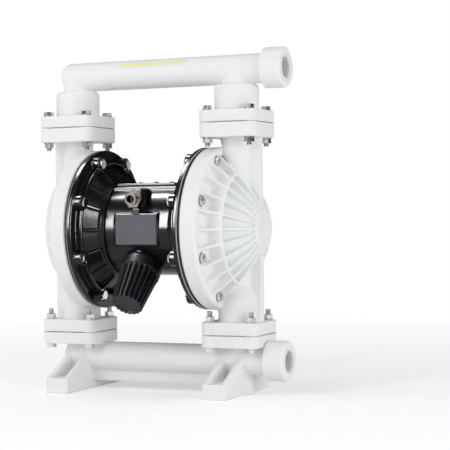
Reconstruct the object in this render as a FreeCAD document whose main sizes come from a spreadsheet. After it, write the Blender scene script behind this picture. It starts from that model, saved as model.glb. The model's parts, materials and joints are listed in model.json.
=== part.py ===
import FreeCAD, Part
import math
import os
import re

import Sketcher

# Air-operated double diaphragm pump, one inch size, with plastic fluid caps and manifolds.
# Frame: millimetres, +Z up, +X towards the two ports, +Y to the back.
# Origin: centre of the foot bolt pattern, on the plane that the feet stand on.
# The right half is drawn, and pieces that come in pairs are mirrored in the plane X = 0.

SIZES = {
    # Legs and flanges
    "leg_offset": 134.0,
    "rim_flange_gap": 13.1,
    "flange_side": 90.0,
    "flange_corner": 12.0,
    "flange_bolt_offset": 33.0,
    "cap_top_flange": 22.3,
    "cap_foot_flange": 19.2,
    "manifold_flange": 18.0,
    "flange_relief": 0.9,
    "relief_half_length": 38.0,
    "relief_depth": 3.0,
    "leg_radius": 22.4,
    "web_thickness": 12.0,
    "web_reach": 38.0,
    # Clamped rim
    "seam_offset": 92.0,
    "rim_radius": 121.0,
    "rim_bolt_inset": 14.0,
    "rim_bolt_count": 8,
    "rim_bolt_start": 22.5,
    "rim_rounding": 2.0,
    "clamp_width": 15.0,
    "rubber_thickness": 3.0,
    "rubber_inset": 1.4,
    "ptfe_thickness": 1.6,
    "ptfe_inset": 2.6,
    "fold_height": 8.0,
    "fold_inner_gap": 4.0,
    "fold_outer_gap": 3.0,
    # Dome of the fluid cap
    "cap_rim_thickness": 23.7,
    "cap_rim_rounding": 4.0,
    "rim_land": 11.0,
    "rim_step": 4.0,
    "floor_radius": 88.0,
    "floor_rise": 2.0,
    "ring_rib_radius": 84.0,
    "ring_rib_reach": 11.0,
    "ring_rib_root": 25.0,
    "ring_rib_thickness": 4.4,
    "shoulder_radius": 66.0,
    "shoulder_reach": 22.5,
    "shoulder_pocket": 12.5,
    "brow_radius": 46.0,
    "brow_reach": 35.0,
    "brow_pocket": 8.0,
    "hub_radius": 28.0,
    "hub_reach": 41.5,
    "hub_edge": 1.5,
    "hub_pocket": 6.5,
    "rib_thickness": 4.2,
    "rib_count": 24,
    "dome_wall": 9.0,
    "rim_collar_radius": 12.6,
    "rim_collar_rise": 1.0,
    "spot_clearance": 0.4,
    "cap_spot_depth": 2.5,
    # Flow path
    "flow_radius": 13.5,
    "port_thread_radius": 15.15,
    "port_thread_length": 22.0,
    "port_collar_radius": 30.0,
    "port_collar_length": 32.0,
    "port_reach": 79.0,
    "collar_rounding": 3.0,
    "collar_neck": 3.0,
    "collar_edge": 1.0,
    "pipe_radius": 22.0,
    "elbow_rounding": 14.0,
    "riser_inset": 0.6,
    "inlet_pipe_height": 50.0,
    "inlet_drop": 38.6,
    "outlet_rise": 78.8,
    # Ball valves
    "ball_radius": 18.0,
    "ball_gap": 0.4,
    "ball_lift": 8.0,
    "seat_radius": 28.0,
    "seat_height": 9.0,
    "seat_bore": 12.0,
    "seat_mouth": 17.0,
    "seat_clearance": 0.1,
    "seal_section": 2.6,
    "seal_edge": 0.6,
    "valve_chamber_radius": 25.0,
    "valve_chamber_height": 45.0,
    "valve_sleeve_radius": 33.25,
    "outlet_sleeve_height": 56.6,
    "sleeve_rounding": 7.0,
    "inlet_housing_radius": 31.0,
    "inlet_housing_height": 52.5,
    "housing_taper": 17.0,
    "leg_bore_gap": 20.0,
    "guide_clearance": 0.6,
    "guide_thickness": 4.0,
    "guide_nose_radius": 8.0,
    "guide_start": 3.0,
    # Feet
    "foot_inset": 5.0,
    "foot_width": 36.0,
    "foot_reach": 86.0,
    "foot_height": 22.5,
    "foot_wall": 7.0,
    "foot_wall_start": 84.0,
    "foot_wall_top": 54.0,
    "foot_bolt_spacing": 151.0,
    "foot_bolt_radius": 5.5,
    "under_web_base": 12.0,
    "under_web_thickness": 9.0,
    "overlap": 2.0,
    # Air chambers
    "chamber_flange": 7.5,
    "chamber_end_face": 64.0,
    "chamber_end_wall": 5.0,
    "chamber_end_radius": 72.0,
    "chamber_neck_radius": 75.0,
    "neck_end": 53.0,
    "neck_ring_radius": 73.0,
    "neck_ring_width": 4.0,
    "curb_inset": 2.0,
    "curb_crest": 72.0,
    "curb_width": 5.0,
    "boss_radius": 11.5,
    "boss_face": 71.5,
    "boss_spot_depth": 3.0,
    "bell_rib_thickness": 4.0,
    "low_rib_drop": 6.0,
    # Centre body
    "body_radius": 70.0,
    "spigot_radius": 64.0,
    "fit_clearance": 0.3,
    "passage_clearance": 0.6,
    "gasket_thickness": 1.0,
    "plate_pad_width": 72.0,
    "plate_pad_height": 49.0,
    "plate_pad_face": 70.2,
    "nameplate_width": 66.0,
    "nameplate_height": 43.0,
    "nameplate_thickness": 0.8,
    "nameplate_corner": 2.0,
    "plate_pad_depth": 12.0,
    "plate_tab_width": 13.0,
    "plate_tab_top": 32.4,
    "block_half_depth": 40.0,
    "block_top": 64.2,
    "block_depth": 24.0,
    "block_chamfer": 2.0,
    "cover_half_depth": 36.0,
    "cover_half_length": 48.0,
    "cover_thickness": 4.0,
    "cover_chamfer": 1.5,
    "cover_screw_inset": 7.0,
    # Air valve, pilot and inlet
    "spool_height": 42.0,
    "valve_bore": 13.0,
    "sleeve_bore": 8.0,
    "running_clearance": 0.05,
    "plug_length": 7.5,
    "spool_travel": 6.0,
    "spool_waist": 5.0,
    "spool_end_room": 2.5,
    "valve_port_radius": 2.5,
    "valve_port_spacing": 15.0,
    "passage_radius": 4.0,
    "passage_offset": 24.0,
    "passage_depth": 26.0,
    "cross_drill_offset": 30.0,
    "pilot_drop": 38.0,
    "pilot_radius": 5.0,
    "pilot_length": 140.8,
    "pilot_groove_start": 14.0,
    "pilot_groove_depth": 1.5,
    "pilot_bushing_radius": 8.0,
    "pilot_bushing_length": 12.0,
    "air_inlet_height": 45.0,
    "inlet_boss_radius": 15.5,
    "inlet_boss_face": 66.0,
    "inlet_boss_length": 28.0,
    "air_drill_radius": 5.0,
    "nipple_hex": 24.0,
    "nipple_hex_length": 14.0,
    "nipple_nose_radius": 9.7,
    "nipple_nose_length": 8.5,
    "nipple_nose_edge": 0.8,
    "nipple_thread_radius": 8.3,
    "nipple_thread_length": 11.0,
    "air_thread_radius": 5.72,
    "air_thread_length": 14.0,
    # Muffler
    "muffler_angle": 46.9,
    "exhaust_boss_radius": 24.0,
    "exhaust_boss_face": 74.0,
    "exhaust_boss_length": 20.0,
    "exhaust_drill_radius": 8.0,
    "muffler_collar_radius": 30.3,
    "muffler_collar_length": 16.0,
    "muffler_collar_edge": 3.0,
    "muffler_end": 149.3,
    "muffler_root_radius": 29.2,
    "muffler_tip_radius": 22.8,
    "flute_count": 20,
    "flute_width": 4.4,
    "flute_depth": 2.6,
    "flute_stop": 7.0,
    "nub_gap": 2.6,
    "nub_depth": 1.6,
    "nub_height": 3.2,
    "muffler_wall": 4.0,
    "muffler_thread_radius": 13.0,
    "muffler_thread_length": 12.0,
    "element_radius": 14.0,
    "element_wall": 4.0,
    # Rod and diaphragm plates
    "rod_radius": 10.0,
    "stud_radius": 8.0,
    "bushing_radius": 14.0,
    "bushing_length": 16.0,
    "rod_seal_radius": 15.0,
    "rod_seal_length": 6.0,
    "exhaust_space_half": 30.0,
    "exhaust_space_depth": 16.0,
    "end_chamfer": 1.0,
    "plate_radius": 50.0,
    "inner_plate_thickness": 14.0,
    "inner_plate_rounding": 4.0,
    "inner_plate_taper": 9.0,
    "outer_plate_rim": 6.0,
    "outer_plate_edge": 3.0,
    "outer_plate_hub": 16.0,
    "outer_hub_radius": 17.0,
    "outer_hub_height": 4.0,
    "half_stroke": 10.0,
    "chamber_screw_circle": 56.5,
    # Fasteners
    "bolt_radius": 4.0,
    "bolt_hole_radius": 4.5,
    "bolt_hex": 13.0,
    "bolt_head_height": 5.3,
    "nut_height": 6.5,
    "washer_radius": 8.0,
    "washer_thickness": 1.6,
    "thread_end": 5.0,
    "cap_thread_end": 2.0,
    "chamber_screw_radius": 3.0,
    "chamber_screw_head": 5.0,
    "chamber_screw_head_height": 6.0,
    "chamber_screw_socket": 2.5,
    "chamber_screw_grip": 16.0,
    "cover_screw_radius": 2.5,
    "cover_screw_head": 4.25,
    "cover_screw_sink": 2.8,
    "cover_screw_length": 13.0,
    "cover_screw_socket": 1.5,
    "screw_head_edge": 0.5,
    "plug_spacing": 26.5,
    "plug_head_radius": 3.6,
    "plug_head_height": 2.0,
}

# Sizes worked out from the ones above.
WORKED = {
    "cap_half_height": "rim_radius + rim_flange_gap + cap_top_flange",
    "rim_bolt_radius": "rim_radius - rim_bolt_inset",
    "chamber_radius": "rim_bolt_radius - clamp_width",
    "curb_radius": "rim_bolt_radius - curb_inset",
    "rubber_radius": "rim_radius - rubber_inset",
    "ptfe_radius": "rim_radius - ptfe_inset",
    "rim_land_radius": "rim_radius - rim_land",
    "foot_centre": "leg_offset - foot_inset",
    "port_face": "leg_offset + port_reach",
    "axis_height": "inlet_pipe_height + inlet_drop + cap_half_height",
    "inlet_joint": "inlet_pipe_height + inlet_drop",
    "outlet_joint": "axis_height + cap_half_height",
    "rubber_face": "seam_offset - (rubber_thickness + ptfe_thickness) / 2",
    "ptfe_face": "rubber_face + rubber_thickness",
    "cap_face": "ptfe_face + ptfe_thickness",
    "cap_rim_face": "cap_face + cap_rim_thickness",
    "cap_nut_seat": "cap_rim_face - cap_spot_depth",
    "bolt_head_seat": "boss_face + boss_spot_depth",
    "ring_rib_crest": "leg_offset + ring_rib_reach",
    "shoulder_crest": "leg_offset + shoulder_reach",
    "brow_crest": "leg_offset + brow_reach",
    "hub_face": "leg_offset + hub_reach",
    "pocket_floor": "cap_rim_face - rim_step",
    "floor_bend": "cap_rim_face + floor_rise",
    "shoulder_floor": "shoulder_crest - shoulder_pocket",
    "brow_floor": "brow_crest - brow_pocket",
    "hub_floor": "hub_face - hub_pocket",
    "fold_inner": "plate_radius + fold_inner_gap",
    "fold_outer": "chamber_radius - fold_outer_gap",
    "fold_span": "(fold_outer - fold_inner) / 2",
    "fold_radius": "(fold_span * fold_span + fold_height * fold_height) / (2 * fold_height)",
    "flange_half": "flange_side / 2",
    "relief_arc": "(relief_half_length ^ 2 + flange_relief ^ 2) / (2 * flange_relief)",
    "ball_rest": "ball_radius * sqrt(2) - seat_mouth + ball_gap",
    "guide_radius": "ball_radius + guide_clearance",
    "nose_start": "ball_rest + ball_lift + ball_gap + ball_radius * sqrt(2) - guide_radius",
    "chamber_wall_face": "chamber_end_face - chamber_end_wall",
    "body_end": "chamber_wall_face - gasket_thickness",
    "body_half_length": "neck_end - fit_clearance",
    "cover_base": "block_top + gasket_thickness",
    "cover_face": "cover_base + cover_thickness",
    "plate_back": "rubber_face - inner_plate_thickness",
    "spool_half_length": "body_end - plug_length - spool_travel - spool_end_room",
    "port_collar_start": "port_face - port_collar_length",
    "curb_rib_end": "rim_bolt_radius - washer_radius - 1.5",
    "dome_floor_radius": "rim_bolt_radius - washer_radius - 1",
    "stud_end": "cap_face + outer_plate_hub - outer_hub_height",
}

# The three passage plugs lie in a row on top, at these places along X.
PLUG_PLACES = ("-plug_spacing", "0", "plug_spacing")

DOC = FreeCAD.newDocument("diaphragm_pump")
PIECES = []


def make_sheet(name, cells):
    """Put named values in one column of a new sheet."""
    sheet = DOC.addObject("Spreadsheet::Sheet", name)
    for row, (alias, content) in enumerate(cells.items(), start=1):
        sheet.set(f"A{row}", alias)
        sheet.set(f"B{row}", content)
        sheet.setAlias(f"B{row}", alias)
    DOC.recompute()
    return sheet


def bound(expression):
    """Point every size that an expression names at the cell that holds it."""
    def cell(match):
        word = match.group(0)
        if word in SIZES:
            return "Sizes." + word
        if word in WORKED:
            return "Worked." + word
        return word
    return re.sub(r"[a-z_]+", cell, str(expression))


SIZE_SHEET = make_sheet("Sizes", {alias: str(number) for alias, number in SIZES.items()})
WORKED_SHEET = make_sheet("Worked", {alias: "=" + bound(text) for alias, text in WORKED.items()})


def value(expression):
    """Work out an expression in the named sizes."""
    return float(WORKED_SHEET.evalExpression(bound(expression)))


# Sketches. A loop is a list of vertices (x, y), each a pair of expressions.
# A vertex (x, y, radius, side) starts an arc whose centre lies on that side of its chord.

def arc_between(start, end, radius, side):
    """The short arc from start to end, and whether it runs counter-clockwise."""
    chord = end - start
    half = chord.Length / 2
    height = math.sqrt(max(radius * radius - half * half, 0.0))
    left = FreeCAD.Vector(-chord.y, chord.x, 0).normalize()
    turns_left = side == "left"
    centre = (start + end) / 2 + left * (height if turns_left else -height)
    first, last = (start, end) if turns_left else (end, start)
    angles = [math.atan2(p.y - centre.y, p.x - centre.x) for p in (first, last)]
    circle = Part.Circle(centre, FreeCAD.Vector(0, 0, 1), radius)
    return Part.ArcOfCircle(circle, angles[0], angles[1]), turns_left


def pin(sketch, geometry, point, x, y):
    """Hold one point of a sketch at coordinates given by two expressions."""
    for kind, expression in (("DistanceX", x), ("DistanceY", y)):
        number = sketch.addConstraint(
            Sketcher.Constraint(kind, -1, 1, geometry, point, value(expression)))
        label = f"at{number}"
        sketch.renameConstraint(number, label)
        sketch.setExpression("Constraints." + label, bound(expression))


def draw_circle(sketch, x, y, radius):
    """Add a circle by its centre and radius."""
    centre = FreeCAD.Vector(value(x), value(y), 0)
    geometry = sketch.addGeometry(Part.Circle(centre, FreeCAD.Vector(0, 0, 1), value(radius)))
    pin(sketch, geometry, 3, x, y)
    number = sketch.addConstraint(Sketcher.Constraint("Radius", geometry, value(radius)))
    sketch.renameConstraint(number, f"radius{number}")
    sketch.setExpression(f"Constraints.radius{number}", bound(radius))


def draw_loop(sketch, loop):
    """Add one closed outline of lines and arcs, with every vertex held."""
    corners = [FreeCAD.Vector(value(vertex[0]), value(vertex[1]), 0) for vertex in loop]
    ends = []
    for index, vertex in enumerate(loop):
        start = corners[index]
        end = corners[(index + 1) % len(loop)]
        if len(vertex) == 2:
            ends.append((sketch.addGeometry(Part.LineSegment(start, end)), 1, 2))
            continue
        arc, turns_left = arc_between(start, end, value(vertex[2]), vertex[3])
        geometry = sketch.addGeometry(arc)
        ends.append((geometry, 1, 2) if turns_left else (geometry, 2, 1))
        number = sketch.addConstraint(Sketcher.Constraint("Radius", geometry, value(vertex[2])))
        sketch.renameConstraint(number, f"radius{number}")
        sketch.setExpression(f"Constraints.radius{number}", bound(vertex[2]))
    for index, vertex in enumerate(loop):
        here = ends[index]
        following = ends[(index + 1) % len(loop)]
        sketch.addConstraint(
            Sketcher.Constraint("Coincident", here[0], here[2], following[0], following[1]))
        pin(sketch, here[0], here[1], vertex[0], vertex[1])


def origin_feature(body, role):
    """One of the body's own origin planes or axes."""
    return next(item for item in body.Origin.OriginFeatures if item.Role == role)


def new_body(label, base=("0", "0", "0")):
    """An empty body whose frame stands at the given point."""
    body = DOC.addObject("PartDesign::Body", label)
    body.Label = label
    for direction, expression in zip("xyz", base):
        body.setExpression(f"Placement.Base.{direction}", bound(expression))
    return body


def draw(body, name, plane, loops=(), circles=(), offset="0", axis_at=None):
    """A sketch on an origin plane of the body, moved along the plane's normal by offset.

    With axis_at it also holds a construction line, parallel to the sketch's vertical at that
    distance, which serves as the axis of a revolution or a pattern.
    """
    sketch = body.newObject("Sketcher::SketchObject", name)
    sketch.AttachmentSupport = (origin_feature(body, plane), [""])
    sketch.MapMode = "FlatFace"
    sketch.setExpression("AttachmentOffset.Base.z", bound(offset))
    if axis_at is not None:
        x = value(axis_at)
        line = Part.LineSegment(FreeCAD.Vector(x, 0, 0), FreeCAD.Vector(x, 10, 0))
        geometry = sketch.addGeometry(line, True)
        pin(sketch, geometry, 1, axis_at, "0")
        pin(sketch, geometry, 2, axis_at, "10")
    for loop in loops:
        draw_loop(sketch, loop)
    for circle in circles:
        draw_circle(sketch, *circle)
    return sketch


def add_feature(body, kind, name):
    """A new feature of the body, with seams left as they fall."""
    feature = body.newObject("PartDesign::" + kind, name)
    feature.Refine = False
    return feature


def revolve(body, sketch, name, axis="H_Axis", cut=False):
    """Turn a sketch once round an axis of its own, to add or to cut."""
    feature = add_feature(body, "Groove" if cut else "Revolution", name)
    feature.Profile = sketch
    feature.ReferenceAxis = (sketch, [axis])
    feature.Angle = 360
    return feature


def extrude(body, sketch, length, name, cut=False, both=False):
    """Pad or pocket a sketch along its normal, or evenly to both sides of it."""
    feature = add_feature(body, "Pocket" if cut else "Pad", name)
    feature.Profile = sketch
    feature.setExpression("Length", bound(length))
    if both:
        feature.SideType = "Symmetric"
    elif cut:
        feature.Reversed = True
    return feature


def repeat_round(body, features, axis, count, name):
    """Repeat features evenly round an axis."""
    pattern = add_feature(body, "PolarPattern", name)
    pattern.Originals = features
    pattern.Axis = axis
    pattern.Angle = 360
    pattern.setExpression("Occurrences", bound(count))
    body.Tip = pattern
    return pattern


def finish(body, label=None):
    """Recompute a body and count it as one sub-part."""
    body.Label = label or body.Label
    DOC.recompute()
    PIECES.append(body)
    return body


def mirrored(source, label):
    """The twin of a sub-part on the other side of the centre plane."""
    twin = DOC.addObject("Part::Mirroring", label)
    twin.Label = label
    twin.Source = source
    twin.Base = FreeCAD.Vector(0, 0, 0)
    twin.Normal = FreeCAD.Vector(1, 0, 0)
    return finish(twin)


def group(label, shapes):
    """One node that holds several separate solids."""
    feature = DOC.addObject("Part::Feature", label)
    feature.Label = label
    feature.Shape = Part.makeCompound(shapes)
    return finish(feature)


def placed(shape, position, turn_axis=(0, 0, 1), angle=0):
    """A copy of a shape, turned about an axis through its own origin and then moved."""
    copy = shape.copy()
    rotation = FreeCAD.Rotation(FreeCAD.Vector(*turn_axis), angle)
    copy.Placement = FreeCAD.Placement(FreeCAD.Vector(*position), rotation)
    return copy


def rectangle(x_low, y_low, x_high, y_high):
    """A loop of four corners."""
    return [(x_low, y_low), (x_high, y_low), (x_high, y_high), (x_low, y_high)]


def rounded_rectangle(x, y, half_x, half_y, corner):
    """A rectangular loop about (x, y) with round corners."""
    low_x, high_x = f"{x} - {half_x}", f"{x} + {half_x}"
    low_y, high_y = f"{y} - {half_y}", f"{y} + {half_y}"
    return [
        (f"{low_x} + {corner}", low_y),
        (f"{high_x} - {corner}", low_y, corner, "left"),
        (high_x, f"{low_y} + {corner}"),
        (high_x, f"{high_y} - {corner}", corner, "left"),
        (f"{high_x} - {corner}", high_y),
        (f"{low_x} + {corner}", high_y, corner, "left"),
        (low_x, f"{high_y} - {corner}"),
        (low_x, f"{low_y} + {corner}", corner, "left"),
    ]


def corner_holes(x):
    """The four bolt holes of a flange, as circles about (x, 0)."""
    return [
        (f"{x} + ({sx}) * flange_bolt_offset", f"{sy} * flange_bolt_offset", "bolt_hole_radius")
        for sx in (-1, 1) for sy in (-1, 1)
    ]


def square_flange(body, x, base, thickness, name):
    """A square flange about the vertical through (x, 0), with its four bolt holes cut later."""
    plate = draw(body, name + "_outline", "XY_Plane",
                 [rounded_rectangle(x, "0", "flange_half", "flange_half", "flange_corner")],
                 offset=base)
    extrude(body, plate, thickness, name)


def drill_flange(body, x, base, thickness, name):
    """The four bolt holes of a flange."""
    holes = draw(body, name + "_holes", "XY_Plane", circles=corner_holes(x), offset=base)
    extrude(body, holes, thickness, name, cut=True)


def ball_chamber(body, x, joint, name):
    """The round chamber above a valve joint, narrowing to the flow bore."""
    profile = draw(body, name + "_profile", "XZ_Plane", [[
        (x, f"{joint}"),
        (f"{x} + valve_chamber_radius", f"{joint}"),
        (f"{x} + valve_chamber_radius", f"{joint} + valve_chamber_height"),
        (f"{x} + flow_radius",
         f"{joint} + valve_chamber_height + valve_chamber_radius - flow_radius"),
        (x, f"{joint} + valve_chamber_height + valve_chamber_radius - flow_radius"),
    ]], axis_at=x)
    revolve(body, profile, name, "Axis0", cut=True)


def ball_guides(body, x, joint, name):
    """Four upright fins that guide the ball and whose sloped noses stop its lift."""
    top = f"{joint} + valve_chamber_height + guide_nose_radius / 2"
    fin = draw(body, name + "_profile", "XZ_Plane", [[
        (f"{x} + valve_chamber_radius + 1", f"{joint} + guide_start"),
        (f"{x} + guide_radius", f"{joint} + guide_start"),
        (f"{x} + guide_radius", f"{joint} + nose_start"),
        (f"{x} + guide_nose_radius", f"{joint} + nose_start + guide_radius - guide_nose_radius"),
        (f"{x} + guide_nose_radius", top),
        (f"{x} + valve_chamber_radius + 1", top),
    ]], axis_at=x)
    first = extrude(body, fin, "guide_thickness", name, both=True)
    repeat_round(body, [first], (fin, ["Axis0"]), "4", name + "_ring")


def seat_recess(body, x, joint, name):
    """The recess in the top face of a lower flange, and the flow bore that leaves it."""
    profile = draw(body, name + "_profile", "XZ_Plane", [[
        (x, f"{joint} - seat_height - 1"),
        (f"{x} + flow_radius", f"{joint} - seat_height - 1"),
        (f"{x} + flow_radius", f"{joint} - seat_height"),
        (f"{x} + seat_radius + seat_clearance", f"{joint} - seat_height"),
        (f"{x} + seat_radius + seat_clearance", f"{joint}"),
        (x, f"{joint}"),
    ]], axis_at=x)
    revolve(body, profile, name, "Axis0", cut=True)


def relieve_flange(body, x, face, side, axis_sketch, name):
    """A shallow lens-shaped relief along the middle of each edge of a mating face."""
    gap = draw(body, name + "_outline", "XZ_Plane", [[
        (f"{x} - relief_half_length", face),
        (f"{x} + relief_half_length", face, "relief_arc", side),
    ]], offset="flange_half - relief_depth")
    first = extrude(body, gap, "relief_depth + 1", name, cut=True)
    repeat_round(body, [first], (axis_sketch, ["Axis0"]), "4", name + "_ring")


# Fluid caps

def fluid_cap():
    """A ribbed dome with its two legs, two flanges, stiffening web and inner passages."""
    body = new_body("fluid_cap_right", ("0", "0", "axis_height"))
    leg = "leg_offset"
    dome = draw(body, "dome_profile", "XZ_Plane", [[
        ("cap_face", "0"),
        ("cap_face", "rim_radius"),
        ("cap_rim_face - cap_rim_rounding", "rim_radius", "cap_rim_rounding", "right"),
        ("cap_rim_face", "rim_radius - cap_rim_rounding"),
        ("cap_rim_face", "rim_land_radius"),
        ("pocket_floor", "rim_land_radius - rim_step / 2"),
        ("pocket_floor", "dome_floor_radius"),
        ("floor_bend", "floor_radius"),
        ("shoulder_floor", "shoulder_radius"),
        ("brow_floor", "brow_radius"),
        ("hub_floor", "hub_radius + 2 * hub_edge"),
        ("hub_floor", "hub_radius"),
        ("hub_face - hub_edge", "hub_radius"),
        ("hub_face", "hub_radius - 2 * hub_edge"),
        ("hub_face", "0"),
    ]])
    revolve(body, dome, "dome")
    rib = draw(body, "rib_profile", "XZ_Plane", [[
        ("pocket_floor - overlap", "rim_land_radius + 1"),
        ("cap_rim_face", "rim_land_radius + 1"),
        ("ring_rib_crest - hub_edge", "ring_rib_radius"),
        ("shoulder_crest", "shoulder_radius"),
        ("brow_crest", "brow_radius"),
        ("hub_face - hub_edge", "hub_radius + 2 * hub_edge"),
        ("hub_face - hub_edge", "hub_radius - 1"),
        ("hub_floor - overlap", "hub_radius - 1"),
        ("brow_floor - overlap", "brow_radius - overlap"),
        ("shoulder_floor - overlap", "shoulder_radius - overlap"),
        ("floor_bend - overlap", "floor_radius - overlap"),
        ("pocket_floor - overlap", "dome_floor_radius"),
    ]])
    first = extrude(body, rib, "rib_thickness", "rib", both=True)
    repeat_round(body, [first], (origin_feature(body, "X_Axis"), [""]), "rib_count", "ribs")
    half = "ring_rib_thickness / 2"
    ring = draw(body, "ring_profile", "XZ_Plane", [[
        ("ring_rib_crest - ring_rib_root", f"ring_rib_radius - {half}"),
        ("ring_rib_crest - ring_rib_root", f"ring_rib_radius + {half}"),
        ("ring_rib_crest - hub_edge", f"ring_rib_radius + {half}", "hub_edge", "right"),
        ("ring_rib_crest", f"ring_rib_radius + {half} - hub_edge"),
        ("ring_rib_crest", f"ring_rib_radius - {half} + hub_edge", "hub_edge", "right"),
        ("ring_rib_crest - hub_edge", f"ring_rib_radius - {half}"),
    ]])
    revolve(body, ring, "ring_rib")
    collar = draw(body, "rim_collar_circle", "YZ_Plane",
                  circles=[rim_bolt_circle("rim_collar_radius")], offset="cap_face + 1")
    collar_pad = extrude(body, collar, "cap_rim_face + rim_collar_rise - cap_face - 1",
                         "rim_collar")
    repeat_round(body, [collar_pad], (origin_feature(body, "X_Axis"), [""]), "rim_bolt_count",
                 "rim_collars")
    leg_profile = draw(body, "leg_profile", "XZ_Plane", [[
        (leg, "-cap_half_height + 1"),
        (f"{leg} + inlet_housing_radius", "-cap_half_height + 1"),
        (f"{leg} + inlet_housing_radius", "-cap_half_height + inlet_housing_height"),
        (f"{leg} + leg_radius", "-cap_half_height + inlet_housing_height + housing_taper"),
        (f"{leg} + leg_radius", "cap_half_height - 1"),
        (leg, "cap_half_height - 1"),
    ]], axis_at=leg)
    revolve(body, leg_profile, "legs", "Axis0")
    web = draw(body, "web_outline", "XZ_Plane", [rectangle(
        leg, "-cap_half_height + 1", f"{leg} + web_reach", "cap_half_height - 1")])
    extrude(body, web, "web_thickness", "web", both=True)
    square_flange(body, leg, "-cap_half_height", "cap_foot_flange", "foot_flange")
    square_flange(body, leg, "cap_half_height - cap_top_flange", "cap_top_flange", "top_flange")
    cavity = draw(body, "cavity_profile", "XZ_Plane", [[
        ("cap_face - 1", "0"),
        ("cap_face - 1", "chamber_radius"),
        ("floor_bend - dome_wall - 1", "chamber_radius"),
        ("shoulder_floor - 1.5 * dome_wall", "shoulder_radius + 3"),
        ("brow_floor - dome_wall", "brow_radius - dome_wall"),
        ("hub_floor - dome_wall", "0"),
    ]])
    revolve(body, cavity, "cavity", cut=True)
    bore = draw(body, "leg_bore_profile", "XZ_Plane", [
        rectangle(leg, "-cap_half_height + valve_chamber_height", f"{leg} + flow_radius",
                  "-hub_radius - leg_bore_gap"),
        rectangle(leg, "hub_radius + leg_bore_gap", f"{leg} + flow_radius", "cap_half_height"),
    ], axis_at=leg)
    revolve(body, bore, "leg_bores", "Axis0", cut=True)
    ball_chamber(body, leg, "-cap_half_height", "ball_chamber")
    ball_guides(body, leg, "-cap_half_height", "ball_guide")
    seat_recess(body, leg, "cap_half_height", "seat_recess")
    drill_flange(body, leg, "-cap_half_height", "cap_foot_flange", "foot_flange_holes")
    drill_flange(body, leg, "cap_half_height - cap_top_flange", "cap_top_flange",
                 "top_flange_holes")
    relieve_flange(body, leg, "-cap_half_height", "left", leg_profile, "foot_relief")
    relieve_flange(body, leg, "cap_half_height", "right", leg_profile, "top_relief")
    rim_holes(body, "cap_face - 1", "cap_rim_face - cap_face + 3")
    spot_faces(body, "cap_nut_seat", "cap_spot_depth + rim_collar_rise + 1")
    right = finish(body)
    mirrored(right, "fluid_cap_left")


def rim_bolt_circle(radius):
    """A circle about the first bolt of a clamped rim."""
    return ("rim_bolt_radius * cos(rim_bolt_start)", "rim_bolt_radius * sin(rim_bolt_start)",
            radius)


def rim_holes(body, base, length):
    """The ring of bolt holes through a clamped rim."""
    circle = draw(body, "rim_hole_circle", "YZ_Plane", circles=[
        rim_bolt_circle("bolt_hole_radius")],
        offset=base)
    hole = extrude(body, circle, length, "rim_hole", cut=True)
    repeat_round(body, [hole], (origin_feature(body, "X_Axis"), [""]), "rim_bolt_count",
                 "rim_holes")


def spot_faces(body, base, length):
    """Round seats for the washers, sunk into the bosses of a clamped rim."""
    circle = draw(body, "spot_circle", "YZ_Plane", circles=[
        rim_bolt_circle("washer_radius + spot_clearance")],
        offset=base)
    spot = extrude(body, circle, length, "spot", cut=True)
    repeat_round(body, [spot], (origin_feature(body, "X_Axis"), [""]), "rim_bolt_count", "spots")


# Manifolds

def pipe(body):
    """The horizontal pipe, with its rounded end over the left leg and its port collar."""
    profile = draw(body, "pipe_profile", "XZ_Plane", [[
        ("-leg_offset - pipe_radius", "0"),
        ("-leg_offset - pipe_radius", "pipe_radius - elbow_rounding", "elbow_rounding", "right"),
        ("elbow_rounding - leg_offset - pipe_radius", "pipe_radius"),
        ("port_collar_start - collar_neck", "pipe_radius"),
        ("port_collar_start", "pipe_radius + collar_neck"),
        ("port_collar_start", "port_collar_radius - collar_edge"),
        ("port_collar_start + collar_edge", "port_collar_radius"),
        ("port_face - collar_rounding", "port_collar_radius", "collar_rounding", "right"),
        ("port_face", "port_collar_radius - collar_rounding"),
        ("port_face", "0"),
    ]])
    revolve(body, profile, "pipe")


def pipe_bore(body):
    """The flow bore of the pipe and the threaded port at its open end."""
    profile = draw(body, "pipe_bore_profile", "XZ_Plane", [[
        ("-leg_offset - flow_radius", "0", "flow_radius", "right"),
        ("-leg_offset", "flow_radius"),
        ("port_face - port_thread_length", "flow_radius"),
        ("port_face - port_thread_length", "port_thread_radius"),
        ("port_face + 1", "port_thread_radius"),
        ("port_face + 1", "0"),
    ]])
    revolve(body, profile, "pipe_bore", cut=True)


def upright_bore(body, x, low, high, name):
    """A vertical stretch of the flow bore."""
    profile = draw(body, name + "_profile", "XZ_Plane",
                   [rectangle(x, low, f"{x} + flow_radius", high)], axis_at=x)
    revolve(body, profile, name, "Axis0", cut=True)


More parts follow.
